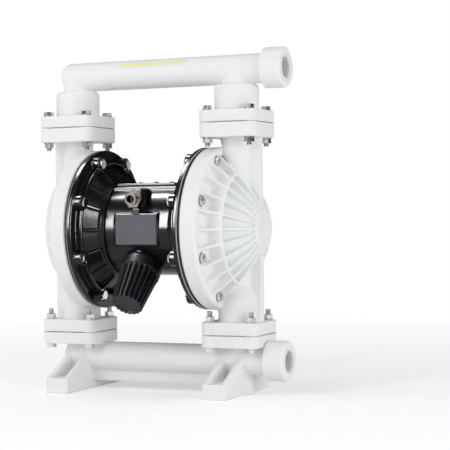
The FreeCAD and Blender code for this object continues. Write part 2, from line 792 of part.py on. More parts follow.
def outlet_manifold():
    """The upper pipe, with a ball housing and a flange over each leg."""
    body = new_body("outlet_manifold", ("0", "0", "outlet_joint + outlet_rise"))
    joint = "-outlet_rise"
    shoulder = "-outlet_rise + outlet_sleeve_height"
    legs = [("left", "-1 * leg_offset"), ("right", "leg_offset")]
    pipe(body)
    sleeves = {}
    for side, x in legs:
        profile = draw(body, side + "_sleeve_profile", "XZ_Plane", [[
            (x, f"{joint} + 1"),
            (f"{x} + valve_sleeve_radius", f"{joint} + 1"),
            (f"{x} + valve_sleeve_radius", f"{shoulder} - sleeve_rounding",
             "sleeve_rounding", "left"),
            (f"{x} + valve_sleeve_radius - sleeve_rounding", shoulder),
            (f"{x} + pipe_radius - riser_inset", shoulder),
            (f"{x} + pipe_radius - riser_inset", "0"),
            (x, "0"),
        ]], axis_at=x)
        revolve(body, profile, side + "_sleeve", "Axis0")
        sleeves[side] = profile
        square_flange(body, x, joint, "manifold_flange", side + "_flange")
    pipe_bore(body)
    for side, x in legs:
        upright_bore(body, x, f"{joint} + valve_chamber_height", "0", side + "_riser_bore")
        ball_chamber(body, x, joint, side + "_ball_chamber")
        ball_guides(body, x, joint, side + "_ball_guide")
        drill_flange(body, x, joint, "manifold_flange", side + "_flange_holes")
        relieve_flange(body, x, joint, "left", sleeves[side], side + "_relief")
    finish(body)


def foot(body, centre, side):
    """One foot: a flat pad with a bolt hole at each end and two raking side walls."""
    ground = "-inlet_pipe_height"
    pad_top = f"{ground} + foot_height"
    pad = draw(body, side + "_pad_outline", "XY_Plane", [rectangle(
        f"{centre} - foot_width / 2", "-foot_reach",
        f"{centre} + foot_width / 2", "foot_reach")], offset=ground)
    extrude(body, pad, "foot_height", side + "_pad")
    for edge, start in (("inner", "- foot_width / 2"), ("outer", "+ foot_width / 2 - foot_wall")):
        wall = draw(body, f"{side}_{edge}_wall_outline", "YZ_Plane", [[
            ("-foot_wall_start", f"{pad_top} - overlap"),
            ("foot_wall_start", f"{pad_top} - overlap"),
            ("foot_wall_start", pad_top),
            ("leg_radius - overlap", f"{ground} + foot_wall_top"),
            ("overlap - leg_radius", f"{ground} + foot_wall_top"),
            ("-foot_wall_start", pad_top),
        ]], offset=f"{centre} {start}")
        extrude(body, wall, "foot_wall", f"{side}_{edge}_wall")


def inlet_manifold():
    """The lower pipe with its two feet, the web under it and a flange under each leg."""
    body = new_body("inlet_manifold", ("0", "0", "inlet_pipe_height"))
    joint = "inlet_drop"
    legs = [("left", "-1 * leg_offset", "-1 * foot_centre"), ("right", "leg_offset", "foot_centre")]
    pipe(body)
    web = draw(body, "under_web_outline", "XZ_Plane", [rectangle(
        "-leg_offset", "under_web_base - inlet_pipe_height", "leg_offset", "-pipe_radius / 2")])
    extrude(body, web, "under_web_thickness", "under_web", both=True)
    risers = {}
    for side, x, centre in legs:
        riser = draw(body, side + "_riser_profile", "XZ_Plane", [rectangle(
            x, "-inlet_pipe_height", f"{x} + pipe_radius - riser_inset", f"{joint} - 1")],
            axis_at=x)
        revolve(body, riser, side + "_riser", "Axis0")
        risers[side] = riser
        foot(body, centre, side)
        square_flange(body, x, f"{joint} - manifold_flange", "manifold_flange", side + "_flange")
    pipe_bore(body)
    for side, x, centre in legs:
        upright_bore(body, x, "0", f"{joint} - seat_height", side + "_riser_bore")
        seat_recess(body, x, joint, side + "_seat_recess")
        drill_flange(body, x, f"{joint} - manifold_flange", "manifold_flange",
                     side + "_flange_holes")
        relieve_flange(body, x, joint, "right", risers[side], side + "_relief")
    holes = draw(body, "foot_hole_circles", "XY_Plane", circles=[
        (f"{sx} * foot_centre", f"{sy} * foot_bolt_spacing / 2", "foot_bolt_radius")
        for sx in (-1, 1) for sy in (-1, 1)], offset="-inlet_pipe_height")
    extrude(body, holes, "foot_height", "foot_holes", cut=True)
    finish(body)


# Ball valves

def valve_rings(label, loops_at):
    """Four like rings, one under each ball, each turned round its leg's axis."""
    body = new_body(label)
    for side, x in (("left", "-1 * leg_offset"), ("right", "leg_offset")):
        profile = draw(body, side + "_profile", "XZ_Plane",
                       [loops_at(x, "inlet_joint"), loops_at(x, "outlet_joint")], axis_at=x)
        revolve(body, profile, side + "_rings", "Axis0")
    finish(body)


def seat_section(x, joint):
    """Section of a seat: a cone for the ball, and a step at the top for its seal."""
    step = "seal_section - seat_clearance"
    return [
        (f"{x} + seat_bore", f"{joint} - seat_height"),
        (f"{x} + seat_radius", f"{joint} - seat_height"),
        (f"{x} + seat_radius", f"{joint} - {step}"),
        (f"{x} + seat_radius - seal_section", f"{joint} - {step}"),
        (f"{x} + seat_radius - seal_section", joint),
        (f"{x} + seat_mouth", joint),
        (f"{x} + seat_bore", f"{joint} - seat_mouth + seat_bore"),
    ]


def seal_ring_section(x, joint):
    """Section of a squeezed sealing ring: flat where it is held, round at its sides."""
    inner = f"{x} + seat_radius - seal_section + seat_clearance"
    outer = f"{x} + seat_radius"
    low = f"{joint} - seal_section + seat_clearance"
    return [
        (f"{inner} + seal_edge", low),
        (f"{outer} - seal_edge", low),
        (outer, f"{low} + seal_edge"),
        (outer, f"{joint} - seal_edge"),
        (f"{outer} - seal_edge", joint),
        (f"{inner} + seal_edge", joint),
        (inner, f"{joint} - seal_edge"),
        (inner, f"{low} + seal_edge"),
    ]


def balls():
    """One ball over each seat, a hair above it."""
    for end in ("inlet", "outlet"):
        for side, sign in (("left", "-"), ("right", "")):
            ball = DOC.addObject("Part::Sphere", f"{end}_ball_{side}")
            ball.setExpression("Radius", bound("ball_radius"))
            ball.setExpression("Placement.Base.x", bound(sign + "leg_offset"))
            ball.setExpression("Placement.Base.z", bound(f"{end}_joint + ball_rest"))
            finish(ball, f"{end}_ball_{side}")


# Diaphragms, plates and rod

def diaphragm(label, low, thickness, radius, rise):
    """A moulded diaphragm: flat rim and centre, with a round fold between them."""
    body = new_body(label + "_right", ("0", "0", "axis_height"))
    arc = f"(fold_span * fold_span + ({rise}) * ({rise})) / (2 * ({rise}))"
    high = f"{low} + {thickness}"
    profile = draw(body, "profile", "XZ_Plane", [[
        (low, "stud_radius + fit_clearance"),
        (low, "fold_inner", arc, "left"),
        (low, "fold_outer"),
        (low, radius),
        (high, radius),
        (high, "fold_outer", arc, "right"),
        (high, "fold_inner"),
        (high, "stud_radius + fit_clearance"),
    ]])
    revolve(body, profile, "disc")
    rim_holes(body, f"{low} - 1", f"{thickness} + 2")
    mirrored(finish(body), label + "_left")


def inner_plate():
    """The metal plate behind the diaphragm, rounded where the rubber rolls over it."""
    body = new_body("inner_plate_right", ("0", "0", "axis_height"))
    bore = "stud_radius + running_clearance"
    profile = draw(body, "profile", "XZ_Plane", [[
        ("plate_back", bore),
        ("plate_back", "plate_radius - inner_plate_taper"),
        ("rubber_face - 2 * inner_plate_rounding", "plate_radius"),
        ("rubber_face - inner_plate_rounding", "plate_radius", "inner_plate_rounding", "right"),
        ("rubber_face", "plate_radius - inner_plate_rounding"),
        ("rubber_face", bore),
    ]])
    revolve(body, profile, "disc")
    mirrored(finish(body), "inner_plate_left")


def outer_plate():
    """The plastic plate on the fluid side, with a hexagonal hub screwed on the rod's end."""
    body = new_body("outer_plate_right", ("0", "0", "axis_height"))
    profile = draw(body, "profile", "XZ_Plane", [[
        ("cap_face", "0"),
        ("cap_face", "plate_radius - outer_plate_edge", "outer_plate_edge", "right"),
        ("cap_face + outer_plate_edge", "plate_radius"),
        ("cap_face + outer_plate_rim", "plate_radius"),
        ("cap_face + outer_plate_rim + outer_plate_edge", "plate_radius - 2 * outer_plate_edge"),
        ("stud_end", "outer_hub_radius"),
        ("stud_end", "0"),
    ]])
    revolve(body, profile, "disc")
    hexagon = draw(body, "hub_outline", "YZ_Plane",
                   [hexagon_loop("0", "0", "outer_hub_radius * 0.85")],
                   offset="stud_end - 1")
    extrude(body, hexagon, "outer_hub_height + 1", "hub")
    socket = draw(body, "stud_socket_circle", "YZ_Plane",
                  circles=[("0", "0", "stud_radius + running_clearance")],
                  offset="cap_face - 1")
    extrude(body, socket, "stud_end - cap_face + overlap", "stud_socket", cut=True)
    mirrored(finish(body), "outer_plate_left")


def hexagon_loop(x, y, half_flats):
    """A hexagon about (x, y) whose flats lie at half_flats from the centre."""
    corner = f"({half_flats}) / cos(30)"
    return [(f"{x} + {corner} * cos({60 * step})", f"{y} + {corner} * sin({60 * step})")
            for step in range(6)]


def main_rod():
    """The rod that joins the two diaphragms, with a threaded stud at each end."""
    body = new_body("main_rod", ("0", "0", "axis_height"))
    end = "stud_end"
    profile = draw(body, "profile", "XZ_Plane", [[
        (f"-({end})", "0"),
        (f"-({end})", "stud_radius - end_chamfer"),
        (f"end_chamfer - ({end})", "stud_radius"),
        ("-plate_back", "stud_radius"),
        ("-plate_back", "rod_radius"),
        ("plate_back", "rod_radius"),
        ("plate_back", "stud_radius"),
        (f"{end} - end_chamfer", "stud_radius"),
        (end, "stud_radius - end_chamfer"),
        (end, "0"),
    ]])
    revolve(body, profile, "rod")
    finish(body)


def ring_pair(label, height, near, far, inner, outer):
    """Two like rings on a line along X, one at each end of the centre body."""
    body = new_body(label, ("0", "0", f"axis_height + {height}"))
    profile = draw(body, "profile", "XZ_Plane", [
        rectangle(near, inner, far, outer),
        rectangle(f"-({far})", inner, f"-({near})", outer),
    ])
    revolve(body, profile, "rings")
    return body


# Centre section

def air_chamber():
    """A bell-shaped metal cover that holds the air side of a diaphragm."""
    body = new_body("air_chamber_right", ("0", "0", "axis_height"))
    flange_back = "rubber_face - chamber_flange"
    cavity_step = "rubber_face - chamber_flange + 1.5"
    shell = draw(body, "bell_profile", "XZ_Plane", [[
        ("rubber_face", "chamber_radius"),
        ("rubber_face", "rim_radius"),
        (f"{flange_back} + rim_rounding", "rim_radius", "rim_rounding", "left"),
        (flange_back, "rim_radius - rim_rounding"),
        (flange_back, "curb_radius"),
        ("curb_crest + 1", "curb_radius"),
        ("curb_crest", "curb_radius - 1"),
        ("curb_crest", "curb_radius - curb_width"),
        (f"{cavity_step}", "chamber_radius + 8"),
        ("chamber_end_face - 4", "chamber_neck_radius"),
        ("neck_end + neck_ring_width", "chamber_neck_radius"),
        ("neck_end + neck_ring_width", "neck_ring_radius"),
        ("neck_end + 1", "neck_ring_radius"),
        ("neck_end", "neck_ring_radius - 1"),
        ("neck_end", "spigot_radius + fit_clearance"),
        ("chamber_wall_face", "spigot_radius + fit_clearance"),
        ("chamber_wall_face", "rod_radius + passage_clearance"),
        ("chamber_end_face", "rod_radius + passage_clearance"),
        ("chamber_end_face", "chamber_end_radius"),
        (cavity_step, "chamber_radius"),
    ]])
    revolve(body, shell, "bell")
    bell_ribs(body, "low_rib", "low_rib_drop", "0")
    bell_ribs(body, "boss_rib", "0", "rim_bolt_start")
    boss = draw(body, "boss_circle", "YZ_Plane", circles=[
        rim_bolt_circle("boss_radius")],
        offset="boss_face")
    boss_pad = extrude(body, boss, "rubber_face - boss_face - 2", "boss")
    repeat_round(body, [boss_pad], (origin_feature(body, "X_Axis"), [""]), "rim_bolt_count",
                 "bosses")
    rim_holes(body, "boss_face - 1", "rubber_face - boss_face + 2")
    spot_faces(body, "boss_face - 1", "boss_spot_depth + 1")
    screw_holes = draw(body, "screw_circles", "YZ_Plane", circles=chamber_screw_circles(
        "chamber_screw_radius + fit_clearance"), offset="chamber_wall_face - 1")
    extrude(body, screw_holes, "chamber_end_wall + 2", "screw_holes", cut=True)
    passages = draw(body, "passage_circles", "YZ_Plane", circles=[
        ("0", "-pilot_drop", "pilot_radius + passage_clearance"),
        ("passage_offset", "spool_height", "passage_radius"),
    ], offset="chamber_wall_face - 1")
    extrude(body, passages, "chamber_end_wall + 2", "passages", cut=True)
    mirrored(finish(body), "air_chamber_left")


def bell_ribs(body, name, drop, turn):
    """Ribs from the neck to the curb, one for each bolt, dropped and turned as given."""
    flange_back = "rubber_face - chamber_flange"
    start = "neck_end + neck_ring_width"
    rib = draw(body, name + "_profile", "XZ_Plane", [[
        (start, "chamber_neck_radius - 2"),
        (start, f"chamber_neck_radius + (3 - ({drop}) / 3)"),
        (f"curb_crest + 0.5 + {drop}", "curb_rib_end"),
        (f"{flange_back} + 1", "curb_rib_end"),
        (f"{flange_back} + 1", "chamber_radius + 4"),
        ("chamber_end_face - 3", "chamber_neck_radius - 2"),
    ]])
    rib.AttachmentOffset = FreeCAD.Placement(
        FreeCAD.Vector(0, 0, 0), FreeCAD.Rotation(FreeCAD.Vector(1, 0, 0), value(turn)))
    rib.setExpression("AttachmentOffset.Rotation.Angle", bound(turn))
    first = extrude(body, rib, "bell_rib_thickness", name, both=True)
    repeat_round(body, [first], (origin_feature(body, "X_Axis"), [""]), "rim_bolt_count",
                 name + "s")


def chamber_screw_circles(radius):
    """The four screws that hold an air chamber to the centre body, as circles."""
    reach = "chamber_screw_circle * cos(45)"
    return [(f"{sy} * {reach}", f"{sz} * {reach}", radius) for sy in (-1, 1) for sz in (-1, 1)]


def center_body():
    """The metal block between the air chambers, with its bosses, bores and flats."""
    body = new_body("center_body", ("0", "0", "axis_height"))
    core = draw(body, "core_profile", "XZ_Plane", [[
        ("-body_end", "0"),
        ("-body_end", "spigot_radius"),
        ("-body_half_length", "spigot_radius"),
        ("-body_half_length", "body_radius"),
        ("body_half_length", "body_radius"),
        ("body_half_length", "spigot_radius"),
        ("body_end", "spigot_radius"),
        ("body_end", "0"),
    ]])
    revolve(body, core, "core")
    pad = draw(body, "plate_pad_outline", "XZ_Plane", [rectangle(
        "-plate_pad_width / 2", "-plate_pad_height / 2",
        "plate_pad_width / 2", "plate_pad_height / 2")], offset="plate_pad_face - plate_pad_depth")
    extrude(body, pad, "plate_pad_depth", "plate_pad")
    tab = draw(body, "plate_tab_outline", "XZ_Plane", [rectangle(
        "-plate_tab_width / 2", "plate_pad_height / 2 - 1",
        "plate_tab_width / 2", "plate_tab_top")], offset="plate_pad_face - plate_pad_depth")
    extrude(body, tab, "plate_pad_depth", "plate_tab")
    block = draw(body, "block_outline", "YZ_Plane", [[
        ("-block_half_depth", "block_top - block_depth"),
        ("block_half_depth", "block_top - block_depth"),
        ("block_half_depth", "block_top - block_chamfer"),
        ("block_half_depth - block_chamfer", "block_top"),
        ("block_chamfer - block_half_depth", "block_top"),
        ("-block_half_depth", "block_top - block_chamfer"),
    ]])
    extrude(body, block, "2 * body_half_length", "valve_block", both=True)
    crown = draw(body, "crown_outline", "YZ_Plane", [rectangle(
        "-block_half_depth", "block_top", "block_half_depth", "body_radius + 1")])
    extrude(body, crown, "2 * body_half_length + 1", "flat_top", cut=True, both=True)
    inlet = draw(body, "inlet_boss_circle", "XZ_Plane",
                 circles=[("0", "air_inlet_height", "inlet_boss_radius")],
                 offset="inlet_boss_face - inlet_boss_length")
    extrude(body, inlet, "inlet_boss_length", "inlet_boss")
    exhaust = draw_tilted(body, "exhaust_boss_circle", "exhaust_boss_radius",
                          "exhaust_boss_face - exhaust_boss_length")
    extrude(body, exhaust, "exhaust_boss_length", "exhaust_boss")
    bore = draw(body, "rod_bore_profile", "XZ_Plane", [stepped_bore()])
    revolve(body, bore, "rod_bore", cut=True)
    along = draw(body, "long_bore_circles", "YZ_Plane", circles=[
        ("0", "spool_height", "valve_bore"),
        ("0", "-pilot_drop", "pilot_radius + passage_clearance"),
    ], offset="-body_end - 1")
    extrude(body, along, "2 * body_end + 2", "long_bores", cut=True)
    for side, start in (("left", "-body_end - 1"), ("right", "body_end - pilot_bushing_length")):
        pocket = draw(body, side + "_pilot_circle", "YZ_Plane",
                      circles=[("0", "-pilot_drop", "pilot_bushing_radius")], offset=start)
        extrude(body, pocket, "pilot_bushing_length + 1", side + "_pilot_pocket", cut=True)
    for side, start in (("left", "-body_end - 1"), ("right", "body_end - chamber_screw_grip")):
        holes = draw(body, side + "_screw_circles", "YZ_Plane", circles=chamber_screw_circles(
            "chamber_screw_radius + running_clearance"), offset=start)
        extrude(body, holes, "chamber_screw_grip + 1", side + "_screw_holes", cut=True)
        passage = draw(body, side + "_passage_circle", "YZ_Plane",
                       circles=[("passage_offset", "spool_height", "passage_radius")],
                       offset="-body_end - 1" if side == "left" else "passage_depth")
        extrude(body, passage, "body_end - passage_depth + 1", side + "_passage", cut=True)
    cross = draw(body, "cross_drill_circles", "XZ_Plane", circles=[
        (f"{side} * cross_drill_offset", "spool_height", "passage_radius")
        for side in (-1, 1)], offset="-passage_offset")
    extrude(body, cross, "passage_offset", "cross_drills", cut=True)
    drill_air_ports(body)
    tapped = "cover_screw_radius + running_clearance"
    top_holes = draw(body, "top_hole_circles", "XY_Plane", circles=cover_screw_circles(
        tapped) + [(x, "0", tapped) for x in PLUG_PLACES],
        offset="cover_face - cover_screw_length - 1")
    extrude(body, top_holes, "cover_screw_length", "top_holes", cut=True)
    finish(body)


def stepped_bore():
    """Half section of the rod's bore: seal, bushing, and a wide exhaust space in the middle."""
    steps = [
        ("body_end + 1", "rod_seal_radius"),
        ("body_end - rod_seal_length", "bushing_radius"),
        ("body_end - rod_seal_length - bushing_length", "rod_radius + passage_clearance"),
        ("exhaust_space_half", "rod_radius + exhaust_space_depth"),
    ]
    right = []
    for index, (x, radius) in enumerate(steps):
        right.append((x, radius if index == 0 else steps[index - 1][1]))
        if index:
            right.append((x, radius))
    left = [(f"-({x})", radius) for x, radius in reversed(right)]
    return [("body_end + 1", "0")] + right + left + [("-body_end - 1", "0")]


def draw_tilted(body, name, radius, reach):
    """A circle square to the muffler's axis, at the given reach along it."""
    sketch = draw(body, name, "XZ_Plane", circles=[("0", "0", radius)])
    sketch.AttachmentOffset = FreeCAD.Placement(
        FreeCAD.Vector(0, 0, 0), FreeCAD.Rotation(FreeCAD.Vector(1, 0, 0), 45))
    sketch.setExpression("AttachmentOffset.Rotation.Angle", bound("muffler_angle"))
    sketch.setExpression("AttachmentOffset.Base.y", bound(f"-({reach}) * sin(muffler_angle)"))
    sketch.setExpression("AttachmentOffset.Base.z", bound(f"({reach}) * cos(muffler_angle)"))
    return sketch


def drill_air_ports(body):
    """The air inlet from its boss to the valve bore, and the exhaust down to its boss."""
    inlet_thread = draw(body, "inlet_thread_circle", "XZ_Plane", circles=[
        ("0", "air_inlet_height", "nipple_thread_radius + running_clearance")],
        offset="inlet_boss_face - nipple_thread_length - 1")
    extrude(body, inlet_thread, "nipple_thread_length + 2", "inlet_thread", cut=True)
    inlet_drill = draw(body, "inlet_drill_circle", "XZ_Plane",
                       circles=[("0", "air_inlet_height", "air_drill_radius")],
                       offset="valve_bore - 3")
    extrude(body, inlet_drill, "inlet_boss_face - valve_bore", "inlet_drill", cut=True)
    exhaust_thread = draw_tilted(body, "exhaust_thread_circle",
                                 "muffler_thread_radius + running_clearance",
                                 "exhaust_boss_face - muffler_thread_length - 1")
    extrude(body, exhaust_thread, "muffler_thread_length + 2", "exhaust_thread", cut=True)
    exhaust_drill = draw_tilted(body, "exhaust_drill_circle", "exhaust_drill_radius",
                                "rod_radius")
    extrude(body, exhaust_drill, "exhaust_boss_face - rod_radius - 2", "exhaust_drill", cut=True)
    link = draw(body, "link_circle", "XY_Plane", circles=[("0", "0", "air_drill_radius")],
                offset="rod_radius")
    extrude(body, link, "spool_height - rod_radius", "exhaust_link", cut=True)


def cover_screw_circles(radius):
    """The screws of the valve cover: four at its corners."""
    return [
        (f"{sx} * (cover_half_length - cover_screw_inset)",
         f"{sy} * (cover_half_depth - cover_screw_inset)", radius)
        for sx in (-1, 1) for sy in (-1, 1)
    ]


def cover_loop(half_depth, low, high):
    """Section across a cover whose top edges are chamfered."""
    return [
        (f"-({half_depth})", low),
        (half_depth, low),
        (half_depth, f"{high} - cover_chamfer"),
        (f"{half_depth} - cover_chamfer", high),
        (f"cover_chamfer - ({half_depth})", high),
        (f"-({half_depth})", f"{high} - cover_chamfer"),
    ]


def valve_cover():
    """The flat plate that closes the top of the valve block, and its gasket."""
    plug_holes = [(x, "0", "cover_screw_radius + running_clearance") for x in PLUG_PLACES]
    body = new_body("valve_cover", ("0", "0", "axis_height"))
    section = draw(body, "section", "YZ_Plane",
                   [cover_loop("cover_half_depth", "cover_base", "cover_face")])
    extrude(body, section, "2 * cover_half_length", "plate", both=True)
    holes = draw(body, "hole_circles", "XY_Plane", circles=plug_holes + cover_screw_circles(
        "cover_screw_radius + fit_clearance"), offset="cover_base - 1")
    extrude(body, holes, "cover_thickness + 2", "holes", cut=True)
    sinks = draw(body, "sink_circles", "XY_Plane", circles=cover_screw_circles(
        "cover_screw_head + fit_clearance"), offset="cover_face - cover_screw_sink")
    extrude(body, sinks, "cover_screw_sink + 1", "sinks", cut=True)
    finish(body)
    gasket = new_body("valve_cover_gasket", ("0", "0", "axis_height"))
    outline = draw(gasket, "outline", "XY_Plane", [rectangle(
        "-cover_half_length", "-cover_half_depth", "cover_half_length", "cover_half_depth")],
        circles=plug_holes + cover_screw_circles("cover_screw_radius + fit_clearance"),
        offset="block_top")
    extrude(gasket, outline, "gasket_thickness", "sheet")
    finish(gasket)


def socket_screw(name, head_radius, head_height, shank_radius, length, socket):
    """A screw with a round head below its own origin and a shank above it."""
    body = new_body(name)
    profile = draw(body, "profile", "XZ_Plane", [[
        ("0", f"-({head_height})"),
        (f"{head_radius} - screw_head_edge", f"-({head_height})"),
        (head_radius, f"screw_head_edge - ({head_height})"),
        (head_radius, "0"),
        (shank_radius, "0"),
        (shank_radius, length),
        ("0", length),
    ]])
    revolve(body, profile, "turned", "V_Axis")
    hexagon = draw(body, "socket_outline", "XY_Plane", [hexagon_loop("0", "0", socket)],
                   offset=f"-({head_height}) - 1")
    extrude(body, hexagon, f"1 + ({head_height}) / 2", "socket", cut=True)
    DOC.recompute()
    return body.Shape


def hex_bolt(name, length):
    """A hexagon bolt with its head below its own origin and its shank above it."""
    body = new_body(name)
    head = draw(body, "head_outline", "XY_Plane", [hexagon_loop("0", "0", "bolt_hex / 2")],
                offset="-bolt_head_height")
    extrude(body, head, "bolt_head_height", "head")
    shank = draw(body, "shank_circle", "XY_Plane", circles=[("0", "0", "bolt_radius")])
    extrude(body, shank, length, "shank")
    DOC.recompute()
    return body.Shape


def hex_nut(name):
    """A hexagon nut standing on its own origin."""
    body = new_body(name)
    outline = draw(body, "outline", "XY_Plane", [hexagon_loop("0", "0", "bolt_hex / 2")],
                   circles=[("0", "0", "bolt_radius + running_clearance")])
    extrude(body, outline, "nut_height", "nut")
    DOC.recompute()
    return body.Shape


def washer(name):
    """A flat washer standing on its own origin."""
    body = new_body(name)
    outline = draw(body, "outline", "XY_Plane", circles=[
        ("0", "0", "washer_radius"), ("0", "0", "bolt_hole_radius")])
    extrude(body, outline, "washer_thickness", "washer")
    DOC.recompute()
    return body.Shape


def flange_fasteners(nut, ring):
    """Bolts, nuts and washers of the four square flange joints."""
    bolt = hex_bolt("flange_bolt_pattern", "manifold_flange + cap_top_flange"
                    " + 2 * washer_thickness + nut_height + thread_end")
    reach = value("flange_bolt_offset")
    thick = value("washer_thickness")
    bolts, nuts, washers = [], [], []
    joints = (
        (value("outlet_joint"), -1, value("cap_top_flange")),
        (value("inlet_joint"), 1, value("cap_foot_flange")),
    )
    corners = [(side * value("leg_offset") + sx * reach, sy * reach)
               for side in (-1, 1) for sx in (-1, 1) for sy in (-1, 1)]
    for joint, way, cap_flange in joints:
        flip = 0 if way > 0 else 180
        head_face = joint - way * value("manifold_flange")
        nut_face = joint + way * cap_flange
        for x, y in corners:
            bolts.append(placed(bolt, (x, y, head_face - way * thick), (1, 0, 0), flip))
            washers.append(placed(ring, (x, y, head_face - way * thick), (1, 0, 0), flip))
            washers.append(placed(ring, (x, y, nut_face), (1, 0, 0), flip))
            nuts.append(placed(nut, (x, y, nut_face + way * thick), (1, 0, 0), flip))
    group("flange_bolts", bolts)
    group("flange_nuts", nuts)
    group("flange_washers", washers)


def cap_fasteners(nut, ring):
    """Bolts, nuts and washers that clamp the rims round both diaphragms."""
    nut_seat = value("cap_nut_seat")
    count = int(value("rim_bolt_count"))
    bolt = hex_bolt("cap_bolt_pattern", "cap_nut_seat - bolt_head_seat"
                    " + 2 * washer_thickness + nut_height + cap_thread_end")
    thick = value("washer_thickness")
    head_face = value("bolt_head_seat")
    bolts, nuts, washers = [], [], []
    for way in (-1, 1):
        for index in range(count):
            angle = math.radians(value("rim_bolt_start") + 360 / count * index)
            y = value("rim_bolt_radius") * math.cos(angle)
            z = value("axis_height") + value("rim_bolt_radius") * math.sin(angle)
            turn = 90 * way
            bolts.append(placed(bolt, (way * (head_face - thick), y, z), (0, 1, 0), turn))
            washers.append(placed(ring, (way * (head_face - thick), y, z), (0, 1, 0), turn))
            washers.append(placed(ring, (way * nut_seat, y, z), (0, 1, 0), turn))
            nuts.append(placed(nut, (way * (nut_seat + thick), y, z), (0, 1, 0), turn))
    group("cap_bolts", bolts)
    group("cap_nuts", nuts)
    group("cap_washers", washers)


def inner_screws():
    """The screws of the air chambers and of the valve cover, and the three passage plugs."""
    chamber_screw = socket_screw(
        "chamber_screw_pattern", "chamber_screw_head", "chamber_screw_head_height",
        "chamber_screw_radius", "chamber_end_wall + gasket_thickness + chamber_screw_grip - 1",
        "chamber_screw_socket")
    reach = value("chamber_screw_circle * cos(45)")
    face = value("chamber_end_face")
    height = value("axis_height")
    group("chamber_screws", [
        placed(chamber_screw, (way * face, sy * reach, height + sz * reach), (0, 1, 0), -90 * way)
        for way in (-1, 1) for sy in (-1, 1) for sz in (-1, 1)])
    cover_screw = socket_screw(
        "cover_screw_pattern", "cover_screw_head", "cover_screw_sink", "cover_screw_radius",
        "cover_screw_length - cover_screw_sink - 1", "cover_screw_socket")
    x = value("cover_half_length - cover_screw_inset")
    y = value("cover_half_depth - cover_screw_inset")
    seat = value("axis_height + cover_face - cover_screw_sink")
    group("valve_cover_screws", [
        placed(cover_screw, (sx * x, sy * y, seat), (1, 0, 0), 180)
        for sx in (-1, 1) for sy in (-1, 1)])
    plug = socket_screw(
        "passage_plug_pattern", "plug_head_radius", "plug_head_height", "cover_screw_radius",
        "cover_screw_length - 1", "cover_screw_socket")
    top = value("axis_height + cover_face")
    group("passage_plugs", [placed(plug, (value(place), 0, top), (1, 0, 0), 180)
                            for place in PLUG_PLACES])


# Air valve and pilot

def valve_sleeve():
    """The ported liner of the valve bore."""
    body = new_body("valve_sleeve", ("0", "0", "axis_height + spool_height"))
    end = "body_end - plug_length"
    profile = draw(body, "profile", "XZ_Plane", [rectangle(
        f"-({end})", "sleeve_bore", end, "valve_bore - running_clearance")])
    revolve(body, profile, "liner")
    ports = draw(body, "port_circles", "XY_Plane",
                 circles=[(f"{place} * valve_port_spacing", "0", "valve_port_radius")
                          for place in (-2, -1, 0, 1, 2)],
                 offset="-valve_bore - 1")
    extrude(body, ports, "2 * valve_bore + 2", "ports", cut=True)
    cross = draw(body, "cross_port_circles", "XZ_Plane",
                 circles=[(f"{place} * valve_port_spacing", "0", "valve_port_radius")
                          for place in (-2, 0, 2)],
                 offset="-valve_bore - 1")
    extrude(body, cross, "2 * valve_bore + 2", "cross_ports", cut=True)
    finish(body)


def valve_spool():
    """The sliding spool: six lands with waists between them."""
    body = new_body("valve_spool", ("0", "0", "axis_height + spool_height"))
    end = "spool_half_length"
    land = "sleeve_bore - running_clearance"
    right = []
    for start, stop in (("3.5", "11"), ("18", "26")):
        right += [(start, land), (stop, land), (stop, "spool_waist")]
        right.insert(len(right) - 3, (start, "spool_waist"))
    right += [(f"{end} - 6", "spool_waist"), (f"{end} - 6", land), (f"{end} - 1", land),
              (end, f"{land} - 1"), (end, "0")]
    left = [(f"-({x})", radius) for x, radius in reversed(right)]
    profile = draw(body, "profile", "XZ_Plane", [left + right])
    revolve(body, profile, "spool")
    finish(body)


def pilot_rod():
    """The small rod that the diaphragm plates push at each end of the stroke."""
    body = new_body("pilot_rod", ("0", "0", "axis_height - pilot_drop"))
    end = "pilot_length / 2"
    profile = draw(body, "profile", "XZ_Plane", [[
        (f"-({end})", "0"),
        (f"-({end})", "pilot_radius - end_chamfer"),
        (f"end_chamfer - ({end})", "pilot_radius"),
        ("-pilot_groove_start - pilot_groove_depth", "pilot_radius"),
        ("-pilot_groove_start", "pilot_radius - pilot_groove_depth"),
        ("pilot_groove_start", "pilot_radius - pilot_groove_depth"),
        ("pilot_groove_start + pilot_groove_depth", "pilot_radius"),
        (f"{end} - end_chamfer", "pilot_radius"),
        (end, "pilot_radius - end_chamfer"),
        (end, "0"),
    ]])
    revolve(body, profile, "rod")
    finish(body)


def rings_and_bushings():
    """Bushings, seals, plugs and gaskets that lie in pairs at the ends of the centre body."""
    bushing_end = "body_end - rod_seal_length"
    finish(ring_pair("rod_bushings", "0", f"{bushing_end} - bushing_length", bushing_end,
                     "rod_radius + running_clearance", "bushing_radius - running_clearance"))
    finish(ring_pair("rod_seals", "0", bushing_end, "body_end",
                     "rod_radius + running_clearance", "rod_seal_radius - running_clearance"))
    finish(ring_pair("pilot_bushings", "-pilot_drop", "body_end - pilot_bushing_length",
                     "body_end", "pilot_radius + running_clearance",
                     "pilot_bushing_radius - running_clearance"))
    finish(ring_pair("valve_end_plugs", "spool_height", "body_end - plug_length", "body_end",
                     "0", "valve_bore - running_clearance"))
    gaskets = ring_pair("air_chamber_gaskets", "0", "body_end", "chamber_wall_face",
                        "rod_radius + 3", "spigot_radius")
    holes = draw(gaskets, "hole_circles", "YZ_Plane", circles=chamber_screw_circles(
        "chamber_screw_radius + fit_clearance") + [
            ("0", "-pilot_drop", "pilot_radius + passage_clearance"),
            ("passage_offset", "spool_height", "passage_radius"),
        ], offset="-chamber_wall_face - 1")
    extrude(gaskets, holes, "2 * chamber_wall_face + 2", "holes", cut=True)
    finish(gaskets)


# Air inlet, muffler and nameplate

